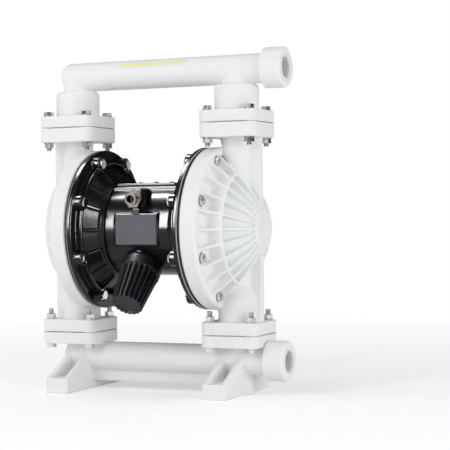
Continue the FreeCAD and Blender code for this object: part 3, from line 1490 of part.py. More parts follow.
def air_inlet_fitting():
    """A hexagon nipple screwed into the inlet boss, threaded inside for the air line."""
    body = new_body("air_inlet_fitting", ("0", "0", "axis_height + air_inlet_height"))
    hex_start = "-inlet_boss_face"
    hex_end = f"{hex_start} - nipple_hex_length"
    face = f"{hex_end} - nipple_nose_length"
    profile = draw(body, "profile", "XY_Plane", [[
        ("air_thread_radius", face),
        ("nipple_nose_radius - nipple_nose_edge", face),
        ("nipple_nose_radius", f"{face} + nipple_nose_edge"),
        ("nipple_nose_radius", f"{hex_end} + 1"),
        ("nipple_thread_radius", f"{hex_start} - 1"),
        ("nipple_thread_radius", f"{hex_start} + nipple_thread_length"),
        ("air_drill_radius", f"{hex_start} + nipple_thread_length"),
        ("air_drill_radius", f"{face} + air_thread_length"),
        ("air_thread_radius", f"{face} + air_thread_length"),
    ]])
    revolve(body, profile, "turned", "V_Axis")
    hexagon = draw(body, "hex_outline", "XZ_Plane", [hexagon_loop("0", "0", "nipple_hex / 2")],
                   circles=[("0", "0", "nipple_thread_radius - 0.5")], offset="inlet_boss_face")
    extrude(body, hexagon, "nipple_hex_length", "hexagon")
    finish(body)


def muffler():
    """The fluted exhaust silencer and the porous tube inside it."""
    body = new_body("muffler_body", ("0", "0", "axis_height"))
    body.Placement.Rotation = FreeCAD.Rotation(FreeCAD.Vector(1, 0, 0), 90)
    body.setExpression("Placement.Rotation.Angle", bound("90 + muffler_angle"))
    collar_end = "exhaust_boss_face + muffler_collar_length"
    inner_top = "exhaust_boss_face + muffler_wall"
    profile = draw(body, "profile", "XZ_Plane", [[
        ("exhaust_drill_radius", "exhaust_boss_face - muffler_thread_length"),
        ("muffler_thread_radius", "exhaust_boss_face - muffler_thread_length"),
        ("muffler_thread_radius", "exhaust_boss_face"),
        ("muffler_collar_radius - muffler_collar_edge", "exhaust_boss_face"),
        ("muffler_collar_radius", "exhaust_boss_face + muffler_collar_edge"),
        ("muffler_collar_radius", f"{collar_end} - 1"),
        ("muffler_root_radius", collar_end),
        ("muffler_tip_radius + 0.4", "muffler_end - 4"),
        ("muffler_tip_radius - 2", "muffler_end - 0.8"),
        ("muffler_tip_radius - 5", "muffler_end"),
        ("0", "muffler_end"),
        ("0", "muffler_end - muffler_wall"),
        ("muffler_tip_radius - muffler_wall - flute_depth", "muffler_end - muffler_wall"),
        ("muffler_root_radius - muffler_wall - flute_depth", inner_top),
        ("exhaust_drill_radius", inner_top),
    ]])
    revolve(body, profile, "barrel", "V_Axis")
    flute = draw(body, "flute_profile", "XZ_Plane", [[
        ("muffler_root_radius - flute_depth", f"{collar_end} + 1.5"),
        ("muffler_collar_radius + 2", f"{collar_end} + 1.5"),
        ("muffler_collar_radius + 2", "muffler_end - flute_stop"),
        ("muffler_tip_radius - flute_depth", "muffler_end - flute_stop"),
    ]])
    cut = extrude(body, flute, "flute_width", "flute", cut=True, both=True)
    repeat_round(body, [cut], (origin_feature(body, "Z_Axis"), [""]), "flute_count", "flutes")
    gap = draw(body, "nub_gap_profile", "XZ_Plane", [rectangle(
        "muffler_tip_radius - nub_depth", "muffler_end - nub_height",
        "muffler_collar_radius", "muffler_end + 1")])
    notch = extrude(body, gap, "nub_gap", "nub_gap", cut=True, both=True)
    repeat_round(body, [notch], (origin_feature(body, "Z_Axis"), [""]), "flute_count", "nub_gaps")
    finish(body)
    element = new_body("muffler_element", ("0", "0", "axis_height"))
    element.Placement.Rotation = FreeCAD.Rotation(FreeCAD.Vector(1, 0, 0), 90)
    element.setExpression("Placement.Rotation.Angle", bound("90 + muffler_angle"))
    section = draw(element, "profile", "XZ_Plane", [rectangle(
        "element_radius - element_wall", inner_top,
        "element_radius", "muffler_end - muffler_wall")])
    revolve(element, section, "tube", "V_Axis")
    finish(element)


def nameplate():
    """A bare plate on the flat of the centre body."""
    body = new_body("nameplate", ("0", "0", "axis_height"))
    outline = draw(body, "outline", "XZ_Plane", [rounded_rectangle(
        "0", "0", "nameplate_width / 2", "nameplate_height / 2", "nameplate_corner")],
        offset="plate_pad_face")
    extrude(body, outline, "nameplate_thickness", "plate")
    finish(body)


def check_pieces():
    """Stop if any object failed to compute or any sub-part is not a sound solid."""
    failed = [item.Label for item in DOC.Objects
              if "Invalid" in item.State or "Error" in item.State]
    broken = [piece.Label for piece in PIECES
              if piece.Shape.isNull() or not piece.Shape.isValid() or piece.Shape.Volume <= 0]
    if failed or broken:
        raise RuntimeError(f"failed objects: {failed}, unsound sub-parts: {broken}")


def write_pieces():
    """Write each sub-part's shape to a file of its own."""
    os.makedirs("parts", exist_ok=True)
    for piece in PIECES:
        piece.Shape.exportStep(os.path.join("parts", piece.Label + ".step"))
        solids = len(piece.Shape.Solids)
        print(f"{piece.Label}: {solids} solid(s), {piece.Shape.Volume:.0f} mm3")


fluid_cap()
outlet_manifold()
inlet_manifold()
valve_rings("ball_seats", seat_section)
valve_rings("seat_seals", seal_ring_section)
balls()
diaphragm("rubber_diaphragm", "rubber_face", "rubber_thickness", "rubber_radius", "fold_height")
diaphragm("ptfe_diaphragm", "ptfe_face", "ptfe_thickness", "ptfe_radius",
          "fold_height + fit_clearance")
inner_plate()
outer_plate()
main_rod()
air_chamber()
center_body()
valve_cover()
valve_sleeve()
valve_spool()
pilot_rod()
rings_and_bushings()
air_inlet_fitting()
muffler()
nameplate()
NUT = hex_nut("nut_pattern")
WASHER = washer("washer_pattern")
flange_fasteners(NUT, WASHER)
cap_fasteners(NUT, WASHER)
inner_screws()
DOC.recompute()
check_pieces()
write_pieces()
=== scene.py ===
"""The looks of a one inch air-operated double diaphragm pump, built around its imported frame."""
import json
import math
import random

import bmesh
import bpy
import numpy as np
from mathutils import Matrix, Vector

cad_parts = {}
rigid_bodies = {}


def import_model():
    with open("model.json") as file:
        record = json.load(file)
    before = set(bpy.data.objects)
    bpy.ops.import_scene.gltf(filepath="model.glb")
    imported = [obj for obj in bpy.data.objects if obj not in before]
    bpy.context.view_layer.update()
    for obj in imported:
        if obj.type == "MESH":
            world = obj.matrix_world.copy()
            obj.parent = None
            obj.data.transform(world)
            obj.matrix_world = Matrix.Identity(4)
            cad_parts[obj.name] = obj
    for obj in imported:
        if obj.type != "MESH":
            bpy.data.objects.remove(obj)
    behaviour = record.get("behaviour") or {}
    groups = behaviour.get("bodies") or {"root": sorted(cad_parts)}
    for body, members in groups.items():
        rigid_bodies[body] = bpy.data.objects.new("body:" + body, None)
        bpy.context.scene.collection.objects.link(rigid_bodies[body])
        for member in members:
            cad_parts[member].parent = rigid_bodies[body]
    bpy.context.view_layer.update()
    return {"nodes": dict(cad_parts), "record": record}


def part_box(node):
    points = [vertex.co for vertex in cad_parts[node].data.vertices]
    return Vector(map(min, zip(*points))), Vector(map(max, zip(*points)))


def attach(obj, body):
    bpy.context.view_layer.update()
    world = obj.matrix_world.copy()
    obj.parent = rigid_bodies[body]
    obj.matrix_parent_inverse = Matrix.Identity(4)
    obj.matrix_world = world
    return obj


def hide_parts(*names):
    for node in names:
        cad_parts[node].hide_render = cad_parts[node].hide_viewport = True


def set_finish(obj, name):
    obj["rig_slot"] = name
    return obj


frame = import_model()
NODES = frame["nodes"]
SLOT_OF = {part["node"]: part["material_slot"] for part in frame["record"]["subparts"]}
BODY_OF = {node: body for body, nodes in frame["record"]["behaviour"]["bodies"].items()
           for node in nodes}
MOUNTS = {mount["name"]: mount for mount in frame["record"]["mounts"]}
MM = 0.001

# Points this close count as one, and the pump's axis lies this high above the floor
SAME_PLACE = 0.01 * MM
AXIS_HEIGHT = 245.0 * MM
WHITE = (1.0, 1.0, 1.0, 1.0)

# Camera: where the photograph was taken from, in metres and degrees, and its lens in millimetres
CAMERA_PLACE = (0.97589, -1.98348, 0.27273)
CAMERA_YAW = 23.5175
CAMERA_PITCH = -0.5985
CAMERA_ROLL = -0.6703
CAMERA_LENS = 116.3
SENSOR = 36.0
CAMERA_REACH = 20.0

# M8 fasteners, in metres
BOLT_RADIUS = 4.0 * MM
BOLT_PITCH = 1.25 * MM
BOLT_THREAD_DEPTH = 0.68 * MM
BOLT_THREAD_LENGTH = 14.0 * MM
BOLT_THREAD_SHARE = 0.6
BOLT_POINT = 0.9 * MM
BOLT_THREAD_START = 0.9 * BOLT_POINT
HEX_FLATS = 13.0 * MM
HEX_CORNER_CUT = 0.07 * MM
HEAD_HEIGHT = 5.3 * MM
HEAD_FACE_RADIUS = 6.1 * MM
HEAD_FACE_HEIGHT = 0.3 * MM
CHAMFER_START = 0.965
CHAMFER_SLOPE = math.tan(math.radians(30))
NUT_HEIGHT = 6.5 * MM
NUT_BORE = 4.03 * MM
NUT_MOUTH = 4.6 * MM
WASHER_RADIUS = 8.0 * MM
WASHER_BORE = 4.5 * MM
WASHER_THICKNESS = 1.6 * MM
WASHER_EDGE = 0.15 * MM
HEX_STEPS = 72
SIXTH = math.tau / 6
SPIN_SEED = 8
SORT_DIGITS = 5

# Fasteners: node, kind and the axis they lie along, in the order of their random turns
FASTENERS = (("flange_bolts", "bolt", 2), ("cap_bolts", "bolt", 0), ("flange_nuts", "nut", 2),
             ("cap_nuts", "nut", 0), ("flange_washers", "washer", 2), ("cap_washers", "washer", 0))

# Threads: the slope of a flank, and the rings of points to each turn
THREAD_FLANK = 2.5
THREAD_RINGS = 8

# Whitworth pipe thread of the ports, G1
PIPE_PITCH = 25.4 / 11 * MM
PIPE_THREAD_DEPTH = 1.48 * MM
PIPE_THREAD_STEPS = 96
PIPE_THREAD_END = 1.0 * MM
PIPE_MOUTH = 1.3 * MM

# Lining of a port: its wall, and its overlap with the bore and distance from the bore's ends
LINING_WALL = 0.55 * MM
LINING_MARGIN = 0.1 * MM

# Opening of a bore: how high above its floor it starts, how far inside the bore's radius points
# still move, and over how many of its own depths the widening fades out
BORE_FLOOR = 0.5 * MM
BORE_INSIDE = 1.0 * MM
BORE_FADE = 3

# Remeshed castings and mouldings: voxel size, rounds of smoothing and share of faces kept
MOULDS = {
    "fluid_cap_right": (1.0 * MM, 4, 0.3),
    "air_chamber_right": (0.8 * MM, 4, 0.4),
    "center_body": (0.8 * MM, 4, 0.5),
    "valve_cover": (0.5 * MM, 3, 0.5),
    "air_inlet_fitting": (0.25 * MM, 3, 0.4),
    "valve_cover_screws": (0.15 * MM, 3, 0.4),
    "passage_plugs": (0.15 * MM, 3, 0.4),
    "outlet_manifold": (1.0 * MM, 4, 0.3),
    "inlet_manifold": (1.0 * MM, 4, 0.3),
}
WELD_REACH = 0.002 * MM
SMOOTH_FACTOR = 0.5

# Muffler: places along its axis are counted from the pump's axis
MUFFLER_ANGLE = 46.9
MUFFLER_FACE = 74.0 * MM
MUFFLER_END = 149.3 * MM
COLLAR_RADIUS = 30.3 * MM
COLLAR_END = 90.0 * MM
COLLAR_EDGE = 1.4 * MM
COLLAR_EDGE_STEPS = 5
FLUTES = 20
FLUTE_STEPS = 16
FLUTE_ROOT_RADIUS = 29.3 * MM
FLUTE_TIP_RADIUS = 23.2 * MM
FLUTE_DEPTH = 3.6 * MM
FLUTE_SHARE = 0.33
FLUTE_POWER = 1.4
FLUTE_START = 0.8 * MM
FLUTE_RUN_IN = 3.0 * MM
RUN_IN_REACH = 5.0 * MM
RUN_IN_RINGS = 12
STRAIGHT_START = 7.0 * MM
STRAIGHT_RINGS = 24
NOSE_ROUNDING = 1.6 * MM
NOSE_RINGS = 8
DISC_RADIUS = 16.5 * MM
DISC_DEPTH = 0.9 * MM
DISC_SLOPE = 0.4 * MM
CENTRE_RADIUS = 0.5 * MM
CAVITY_RADIUS = 18.0 * MM
CAVITY_END = 144.0 * MM
SPIGOT_RADIUS = 13.0 * MM
SPIGOT_LENGTH = 12.0 * MM
EXHAUST_BORE = 8.0 * MM

# Disc on the hub of a fluid cap: its radius and its distance from the pump's middle
HUB_DISC = ((30.6 * MM, 168.0 * MM), (30.6 * MM, 174.7 * MM), (30.2 * MM, 175.7 * MM),
            (29.2 * MM, 176.4 * MM), (27.8 * MM, 176.6 * MM))

# Painted highlight along the rim edge of an air chamber: the width and the blur of the pale band
# painted there
RIM_HIGHLIGHT_WIDTH = 0.9 * MM
RIM_HIGHLIGHT_BLUR = 0.3 * MM

# Painted light and shade: how far the pockets painted paler and the tight gaps painted darker
# reach, the samples that find them, how much darker the dull spots and the painted shade in the
# corners of a metal are, and the range of its roughness
PAINTED_POCKET_LIGHT_REACH = 16.0 * MM
PAINTED_GAP_SHADE_REACH = 2.5 * MM
OPENNESS_SAMPLES = 8
DULL_SHARE = 0.72
CORNER_SHADE_SHARE = 0.2
SMOOTHEST = 0.8
ROUGHEST = 1.3

# Plate on the front, and the plain strip on the outlet pipe
PLATE_CORNER = 2.0 * MM
PLATE_BEVEL = 0.2 * MM
PLATE_RIM_WIDTH = 0.45 * MM
PLATE_RIM_HEIGHT = 0.15 * MM
STRIP_ENDS = (-49.0 * MM, 60.0 * MM)
STRIP_ANGLES = (36.0, 41.0)
STRIP_WIDTH = 7.4 * MM
STRIP_THICKNESS = 0.15 * MM
PIPE_RADIUS = 22.0 * MM


def make_camera():
    """A camera without shift or depth of field, turned by yaw, pitch and roll."""
    data = bpy.data.cameras.new("camera")
    data.sensor_width = SENSOR
    data.lens = CAMERA_LENS
    data.clip_end = CAMERA_REACH
    camera = bpy.data.objects.new("camera", data)
    bpy.context.scene.collection.objects.link(camera)
    turn = (Matrix.Rotation(math.radians(CAMERA_YAW), 4, "Z")
            @ Matrix.Rotation(math.radians(90 + CAMERA_PITCH), 4, "X")
            @ Matrix.Rotation(math.radians(CAMERA_ROLL), 4, "Z"))
    camera.matrix_world = Matrix.Translation(CAMERA_PLACE) @ turn
    bpy.context.scene.camera = camera


# Node helpers for materials

class Material:
    """A node material: a Principled shader, with short calls that add and link nodes to it."""

    def __init__(self, name, **sockets):
        self.material = bpy.data.materials.new(name)
        self.material.use_nodes = True
        self.nodes = self.material.node_tree.nodes
        self.links = self.material.node_tree.links
        self.shader = self.nodes["Principled BSDF"]
        self.coordinates = self.nodes.new("ShaderNodeTexCoord").outputs["Object"]
        for socket, number in sockets.items():
            self.shader.inputs[socket.replace("_", " ")].default_value = number

    def stretched(self, stretch):
        """The object's coordinates, scaled along each axis."""
        if stretch is None:
            return self.coordinates
        mapping = self.nodes.new("ShaderNodeMapping")
        mapping.inputs["Scale"].default_value = stretch
        self.links.new(self.coordinates, mapping.inputs["Vector"])
        return mapping.outputs["Vector"]

    def noise(self, scale, detail=3.0, roughness=0.55, stretch=None):
        """A grey noise over the object's own coordinates."""
        node = self.nodes.new("ShaderNodeTexNoise")
        node.inputs["Scale"].default_value = scale
        node.inputs["Detail"].default_value = detail
        node.inputs["Roughness"].default_value = roughness
        self.links.new(self.stretched(stretch), node.inputs["Vector"])
        return node.outputs["Fac"]

    def side(self):
        """The distance from the plane through the pump's middle, across its axis."""
        split = self.nodes.new("ShaderNodeSeparateXYZ")
        self.links.new(self.coordinates, split.inputs["Vector"])
        size = self.nodes.new("ShaderNodeMath")
        size.operation = "ABSOLUTE"
        self.links.new(split.outputs["X"], size.inputs[0])
        return size.outputs[0]

    def openness(self, distance):
        """One on open surfaces and down to zero in pockets and corners."""
        node = self.nodes.new("ShaderNodeAmbientOcclusion")
        node.samples = OPENNESS_SAMPLES
        node.inputs["Distance"].default_value = distance
        return node.outputs["AO"]

    def sharpness(self):
        """Above a half on outer edges and below it in creases."""
        return self.nodes.new("ShaderNodeNewGeometry").outputs["Pointiness"]

    def ramp(self, source, low, high, start=0.3, stop=0.7):
        """A colour that runs from low to high as the source goes from start to stop."""
        node = self.nodes.new("ShaderNodeValToRGB")
        node.color_ramp.elements[0].position = start
        node.color_ramp.elements[1].position = stop
        node.color_ramp.elements[0].color = (*low, 1.0)
        node.color_ramp.elements[1].color = (*high, 1.0)
        self.links.new(source, node.inputs["Fac"])
        return node.outputs["Color"]

    def spread(self, source, low, high, start=0.3, stop=0.7):
        """A number that runs from low to high as the source goes from start to stop."""
        node = self.nodes.new("ShaderNodeMapRange")
        node.inputs["From Min"].default_value = start
        node.inputs["From Max"].default_value = stop
        node.inputs["To Min"].default_value = low
        node.inputs["To Max"].default_value = high
        self.links.new(source, node.inputs["Value"])
        return node.outputs["Result"]

    def mix(self, factor, first, colour):
        """Mix a colour into an earlier one by a factor."""
        node = self.nodes.new("ShaderNodeMix")
        node.data_type = "RGBA"
        # For colours, inputs 6 and 7 and output 2 of this node are the ones in use
        self.links.new(factor, node.inputs[0])
        self.links.new(first, node.inputs[6])
        node.inputs[7].default_value = (*colour, 1.0)
        return node.outputs[2]

    def maths(self, operation, first, second):
        """The result of one operation on two sources."""
        node = self.nodes.new("ShaderNodeMath")
        node.operation = operation
        self.links.new(first, node.inputs[0])
        self.links.new(second, node.inputs[1])
        return node.outputs[0]

    def bump(self, source, distance, strength=1.0, below=None):
        """A bump on the surface, over an earlier one if below is given."""
        node = self.nodes.new("ShaderNodeBump")
        node.inputs["Distance"].default_value = distance
        node.inputs["Strength"].default_value = strength
        self.links.new(source, node.inputs["Height"])
        if below is not None:
            self.links.new(below, node.inputs["Normal"])
        return node.outputs["Normal"]

    def set(self, socket, source):
        """Link a source to a socket of the shader."""
        self.links.new(source, self.shader.inputs[socket])


def darker(colour, share):
    """A share of a colour."""
    return tuple(share * part for part in colour)


def white_plastic():
    """Moulded polypropylene: satin and faintly clouded, with painted light making pockets paler
    and cooler and painted shade darkening tight gaps.
    """
    look = Material("white_plastic", Specular_IOR_Level=0.3, Subsurface_Weight=0.35,
                    Subsurface_Scale=0.006, Subsurface_Radius=(1.0, 1.0, 0.9))
    cloud = look.ramp(look.noise(9.0, detail=4.0), low=(0.845, 0.848, 0.858),
                      high=(0.875, 0.877, 0.885))
    # Painted light: enclosed pockets are painted paler and cooler
    painted_pocket_light = look.spread(look.openness(PAINTED_POCKET_LIGHT_REACH), low=1.0, high=0.0, start=0.2, stop=0.85)
    # Painted shade: tight gaps are painted dark
    painted_gap_shade = look.spread(look.openness(PAINTED_GAP_SHADE_REACH), low=0.85, high=0.0, start=0.05, stop=0.38)
    with_pocket_light = look.mix(painted_pocket_light, cloud, colour=(0.90, 0.925, 0.93))
    look.set("Base Color", look.mix(painted_gap_shade, with_pocket_light, colour=(0.20, 0.18, 0.15)))
    look.set("Roughness", look.spread(look.noise(40.0), low=0.40, high=0.52))
    waves = look.bump(look.noise(55.0, detail=2.0), distance=0.4 * MM, strength=0.25)
    grain = look.noise(1100.0, detail=2.0)
    look.set("Normal", look.bump(grain, distance=0.05 * MM, strength=0.35, below=waves))
    return look.material


def port_plastic_painted_light():
    """The threaded inside of a port: the same plastic, painted paler and a little warmer as
    painted light in the bore.
    """
    look = Material("port_plastic_painted_light", Specular_IOR_Level=0.3, Subsurface_Weight=0.6,
                    Subsurface_Scale=0.01, Subsurface_Radius=(1.0, 1.0, 0.85))
    # Painted light: the bore is painted paler and warmer than the rest of the plastic
    look.set("Base Color", look.ramp(look.noise(20.0, detail=4.0), low=(0.93, 0.94, 0.885),
                                     high=(0.96, 0.97, 0.915)))
    look.set("Roughness", look.spread(look.noise(60.0), low=0.40, high=0.52))
    grain = look.noise(900.0, detail=2.0)
    look.set("Normal", look.bump(grain, distance=0.05 * MM, strength=0.35))
    return look.material


def black_paint():
    """Gloss black coating on a casting: orange peel, thin edges and a painted highlight along the
    rim edge.
    """
    look = Material("black_paint", Specular_IOR_Level=0.24)
    cloud = look.ramp(look.noise(14.0, detail=4.0), low=(0.006, 0.006, 0.007),
                      high=(0.010, 0.010, 0.0115))
    edge = look.spread(look.sharpness(), low=0.0, high=0.6, start=0.53, stop=0.60)
    patches = look.spread(look.noise(160.0, detail=4.0), low=0.0, high=1.0, start=0.4, stop=0.6)
    worn = look.maths("MULTIPLY", edge, patches)
    painted = look.mix(worn, cloud, colour=(0.035, 0.035, 0.037))
    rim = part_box("air_chamber_right")[1].x - RIM_HIGHLIGHT_WIDTH
    # Painted highlight: a pale grey band painted along the rim edge of each air chamber
    turned = look.spread(look.side(), low=0.0, high=0.8, start=rim - RIM_HIGHLIGHT_BLUR, stop=rim)
    look.set("Base Color", look.mix(turned, painted, colour=(0.50, 0.50, 0.51)))
    look.set("Roughness", look.spread(look.noise(30.0), low=0.14, high=0.22))
    peel = look.bump(look.noise(240.0, detail=2.0), distance=0.1 * MM, strength=0.2)
    waves = look.noise(45.0, detail=2.0)
    look.set("Normal", look.bump(waves, distance=0.3 * MM, strength=0.12, below=peel))
    return look.material


def metal(name, low, high, roughness, stretch=None):
    """A bare metal with fine machining marks, a few duller spots and painted shade in its corners.
    """
    look = Material(name, Metallic=1.0)
    marks = look.noise(700.0, detail=3.0, stretch=stretch)
    cloud = look.ramp(look.noise(120.0, detail=4.0), low=low, high=high)
    spots = look.spread(look.noise(420.0, detail=4.0), low=0.0, high=0.3, start=0.6, stop=0.74)
    spotted = look.mix(spots, cloud, colour=darker(low, DULL_SHARE))
    # Painted shade: corners and tight gaps are painted darker
    corners = look.spread(look.openness(PAINTED_GAP_SHADE_REACH), low=0.8, high=0.0, start=0.15, stop=0.65)
    look.set("Base Color", look.mix(corners, spotted, colour=darker(low, CORNER_SHADE_SHARE)))
    look.set("Roughness", look.spread(marks, low=roughness * SMOOTHEST, high=roughness * ROUGHEST))
    look.set("Normal", look.bump(marks, distance=0.03 * MM, strength=0.4))
    return look.material


def matte(name, low, high, roughness, depth=0.1 * MM):
    """A matte moulded plastic or rubber with a fine grain."""
    look = Material(name, Specular_IOR_Level=0.35)
    look.set("Base Color", look.ramp(look.noise(25.0, detail=4.0), low=low, high=high))
    look.set("Roughness", look.spread(look.noise(60.0), low=roughness - 0.06,
                                      high=roughness + 0.08))
    look.set("Normal", look.bump(look.noise(500.0, detail=3.0), distance=depth, strength=0.5))
    return look.material


def plate_metal():
    """Satin grey plate with fine lines along it."""
    look = Material("plate_metal", Metallic=0.6)
    lines = look.noise(900.0, detail=3.0, stretch=(0.04, 1.0, 1.0))
    look.set("Base Color", look.ramp(look.noise(30.0, detail=4.0), low=(0.150, 0.150, 0.170),
                                     high=(0.178, 0.178, 0.202)))
    look.set("Roughness", look.spread(lines, low=0.34, high=0.50))
    look.set("Normal", look.bump(lines, distance=0.02 * MM, strength=0.4))
    return look.material


LOOKS = {
    "white_plastic": white_plastic(),
    "black_paint": black_paint(),
    "cast_aluminium": metal("cast_aluminium", (0.62, 0.63, 0.64), (0.74, 0.75, 0.76), 0.38),
    "stainless": metal("stainless", (0.66, 0.645, 0.63), (0.78, 0.765, 0.75), 0.15),
    "steel_rod": metal("steel_rod", (0.66, 0.66, 0.67), (0.76, 0.76, 0.77), 0.14),
    "nickel": metal("nickel", (0.34, 0.315, 0.285), (0.50, 0.465, 0.425), 0.18,
                    stretch=(0.2, 1.0, 0.2)),
    "ptfe": matte("ptfe", (0.84, 0.84, 0.84), (0.90, 0.90, 0.90), 0.45),
    "rubber": matte("rubber", (0.014, 0.014, 0.015), (0.022, 0.022, 0.024), 0.6),
    "black_plastic": matte("black_plastic", (0.004, 0.005, 0.007), (0.007, 0.008, 0.011), 0.42),
    "bronze": metal("bronze", (0.45, 0.33, 0.17), (0.58, 0.44, 0.24), 0.4),
    "plate_metal": plate_metal(),
    "porous_plastic": matte("porous_plastic", (0.70, 0.70, 0.68), (0.80, 0.80, 0.78), 0.8),
    "gasket_sheet": matte("gasket_sheet", (0.03, 0.03, 0.03), (0.05, 0.05, 0.05), 0.8),
}
PLATE_RIM = metal("plate_rim", (0.30, 0.30, 0.31), (0.42, 0.42, 0.43), 0.3)
PORT_LINING = port_plastic_painted_light()
STRIP_FILM = matte("strip_film", (0.84, 0.81, 0.46), (0.88, 0.85, 0.52), 0.35, depth=0.04 * MM)


def dress_nodes():
    """Give each CAD node the look of its material slot."""
    for node, slot in SLOT_OF.items():
        piece = NODES[node]
        piece.data.materials.clear()
        piece.data.materials.append(LOOKS[slot])


# Pieces and their meshes

def add_piece(name, mesh, body, slot, look=None, stands_for=None):
    """A piece that rides on a body, and stands for a CAD node where one is named."""
    piece = bpy.data.objects.new(name, mesh)
    bpy.context.scene.collection.objects.link(piece)
    mesh.materials.clear()
    mesh.materials.append(look or LOOKS[slot])
    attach(piece, body)
    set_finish(piece, slot)
    if stands_for is not None:
        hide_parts(stands_for)
    return piece


def stand_in(node, mesh):
    """A modelled piece that takes the place of one CAD node."""
    return add_piece(f"{node}_look", mesh, BODY_OF[node], SLOT_OF[node], stands_for=node)


def make_mesh(name, points, faces, crease=30.0):
    """A mesh of points and faces, smooth but for edges sharper than the crease angle."""
    mesh = bpy.data.meshes.new(name)
    mesh.from_pydata(np.asarray(points).tolist(), [], [list(face) for face in faces])
    mesh.polygons.foreach_set("use_smooth", [True] * len(mesh.polygons))
    mesh.set_sharp_from_angle(angle=math.radians(crease))
    return mesh


def curved_facets(mesh, cuts=4, pull=0.75):
    """Points and triangles of a mesh whose facets are bent to follow its normals."""
    mesh.calc_loop_triangles()
    count = len(mesh.loop_triangles)
    corners = np.empty(count * 3, np.int32)
    loops = np.empty(count * 3, np.int32)
    mesh.loop_triangles.foreach_get("vertices", corners)
    mesh.loop_triangles.foreach_get("loops", loops)
    places = np.empty(len(mesh.vertices) * 3, np.float32)
    mesh.vertices.foreach_get("co", places)
    normals = np.empty(len(mesh.loops) * 3, np.float32)
    mesh.corner_normals.foreach_get("vector", normals)
    corner_places = places.reshape(-1, 3)[corners].reshape(-1, 3, 3).astype(np.float64)
    corner_normals = normals.reshape(-1, 3)[loops].reshape(-1, 3, 3).astype(np.float64)
    spots = [(i, j) for i in range(cuts + 1) for j in range(cuts + 1 - i)]
    number = {spot: index for index, spot in enumerate(spots)}
    weights = np.array([((cuts - i - j) / cuts, i / cuts, j / cuts) for i, j in spots])
    small = []
    for i in range(cuts):
        for j in range(cuts - i):
            small.append((number[i, j], number[i + 1, j], number[i, j + 1]))
            if i + j < cuts - 1:
                small.append((number[i + 1, j], number[i + 1, j + 1], number[i, j + 1]))
    flat = np.einsum("wc,tcx->twx", weights, corner_places)
    lift = np.zeros_like(flat)
    for corner in range(3):
        away = np.einsum("twx,tx->tw", flat - corner_places[:, None, corner],
                         corner_normals[:, corner])
        share = weights[None, :, corner, None] * away[:, :, None]
        lift -= share * corner_normals[:, None, corner]
    bent = (flat + pull * lift).reshape(-1, 3)
    firsts = np.arange(count) * len(spots)
    return bent, (np.array(small)[None] + firsts[:, None, None]).reshape(-1, 3)


def weld(mesh, distance):
    """Join the points of a mesh that lie together."""
    work = bmesh.new()
    work.from_mesh(mesh)
    bmesh.ops.remove_doubles(work, verts=work.verts, dist=distance)
    work.to_mesh(mesh)
    work.free()


def placed(points, matrix):
    """Points that a matrix has turned and moved."""
    turn = np.array(matrix)
    return points @ turn[:3, :3].T + turn[:3, 3]


def moulded(node, extra=None):
    """The mesh of a node as it is moulded or cast: true curves, and every edge a little round."""
    voxel, rounds, keep = MOULDS[node]
    points, faces = curved_facets(NODES[node].data)
    if extra is not None:
        more_points, more_faces = extra
        faces = np.concatenate([faces, more_faces + len(points)])
        points = np.concatenate([points, more_points])
    rough = bpy.data.meshes.new(f"{node}_rough")
    rough.from_pydata(points.tolist(), [], faces.tolist())
    weld(rough, WELD_REACH)
    draft = bpy.data.objects.new(f"{node}_draft", rough)
    bpy.context.scene.collection.objects.link(draft)
    remesh = draft.modifiers.new("remesh", "REMESH")
    remesh.mode = "VOXEL"
    remesh.voxel_size = voxel
    smooth = draft.modifiers.new("smooth", "SMOOTH")
    smooth.factor = SMOOTH_FACTOR
    smooth.iterations = rounds
    decimate = draft.modifiers.new("decimate", "DECIMATE")
    decimate.ratio = keep
    shaped = draft.evaluated_get(bpy.context.evaluated_depsgraph_get())
    mesh = bpy.data.meshes.new_from_object(shaped)
    mesh.name = f"{node}_look"
    mesh.polygons.foreach_set("use_smooth", [True] * len(mesh.polygons))
    bpy.data.objects.remove(draft)
    bpy.data.meshes.remove(rough)
    return mesh


def mirrored(mesh, name):
    """A copy of a mesh on the other side of the pump."""
    copy = mesh.copy()
    copy.name = name
    copy.transform(Matrix.Scale(-1, 4, (1, 0, 0)))
    copy.flip_normals()
    return copy


def lathe(rings, steps=HEX_STEPS, loop=False):
    """Points and faces of a turned shape; a ring's radius and height may vary around Z."""
    angles = np.arange(steps) * math.tau / steps
    points = []
    for radius, height in rings:
        radius = np.broadcast_to(radius, steps)
        height = np.broadcast_to(height, steps)
        points.append(np.stack([radius * np.cos(angles), radius * np.sin(angles), height], 1))
    faces = []
    count = len(rings)
    for ring in range(count if loop else count - 1):
        here = ring * steps
        there = (ring + 1) % count * steps
        for step in range(steps):
            after = (step + 1) % steps
            faces.append((here + step, here + after, there + after, there + step))
    if not loop:
        faces.append(tuple(range(steps))[::-1])
        faces.append(tuple((count - 1) * steps + step for step in range(steps)))
    return np.concatenate(points), faces


def thread_rings(start, stop, radius, depth, pitch, steps):
    """Rings of a right-handed thread from start to stop that fades in and out at its ends."""
    angles = np.arange(steps) * math.tau / steps
    rings = []
    count = int(abs(stop - start) / pitch * THREAD_RINGS)
    for height in np.linspace(start, stop, count):
        phase = (height / pitch - angles / math.tau) % 1.0
        groove = np.clip(THREAD_FLANK / 2 - THREAD_FLANK * np.abs(phase * 2 - 1), 0, 1)
        fade = min(1.0, abs(height - start) / pitch, abs(stop - height) / pitch)
        rings.append((radius + depth * groove * fade, height))
    return rings


# Hexagon fasteners

def hexagon_reach():
    """The distance from the axis to the sides of the hexagon, for each step around it."""
    angles = np.arange(HEX_STEPS) * math.tau / HEX_STEPS
    reach = HEX_FLATS / 2 / np.cos((angles + SIXTH / 2) % SIXTH - SIXTH / 2)
    return np.minimum(reach, reach.max() - HEX_CORNER_CUT)


def chamfer_drop(reach):
    """How far the chamfer of a hexagon comes down its sides."""
    return (reach - HEX_FLATS / 2 * CHAMFER_START) * CHAMFER_SLOPE


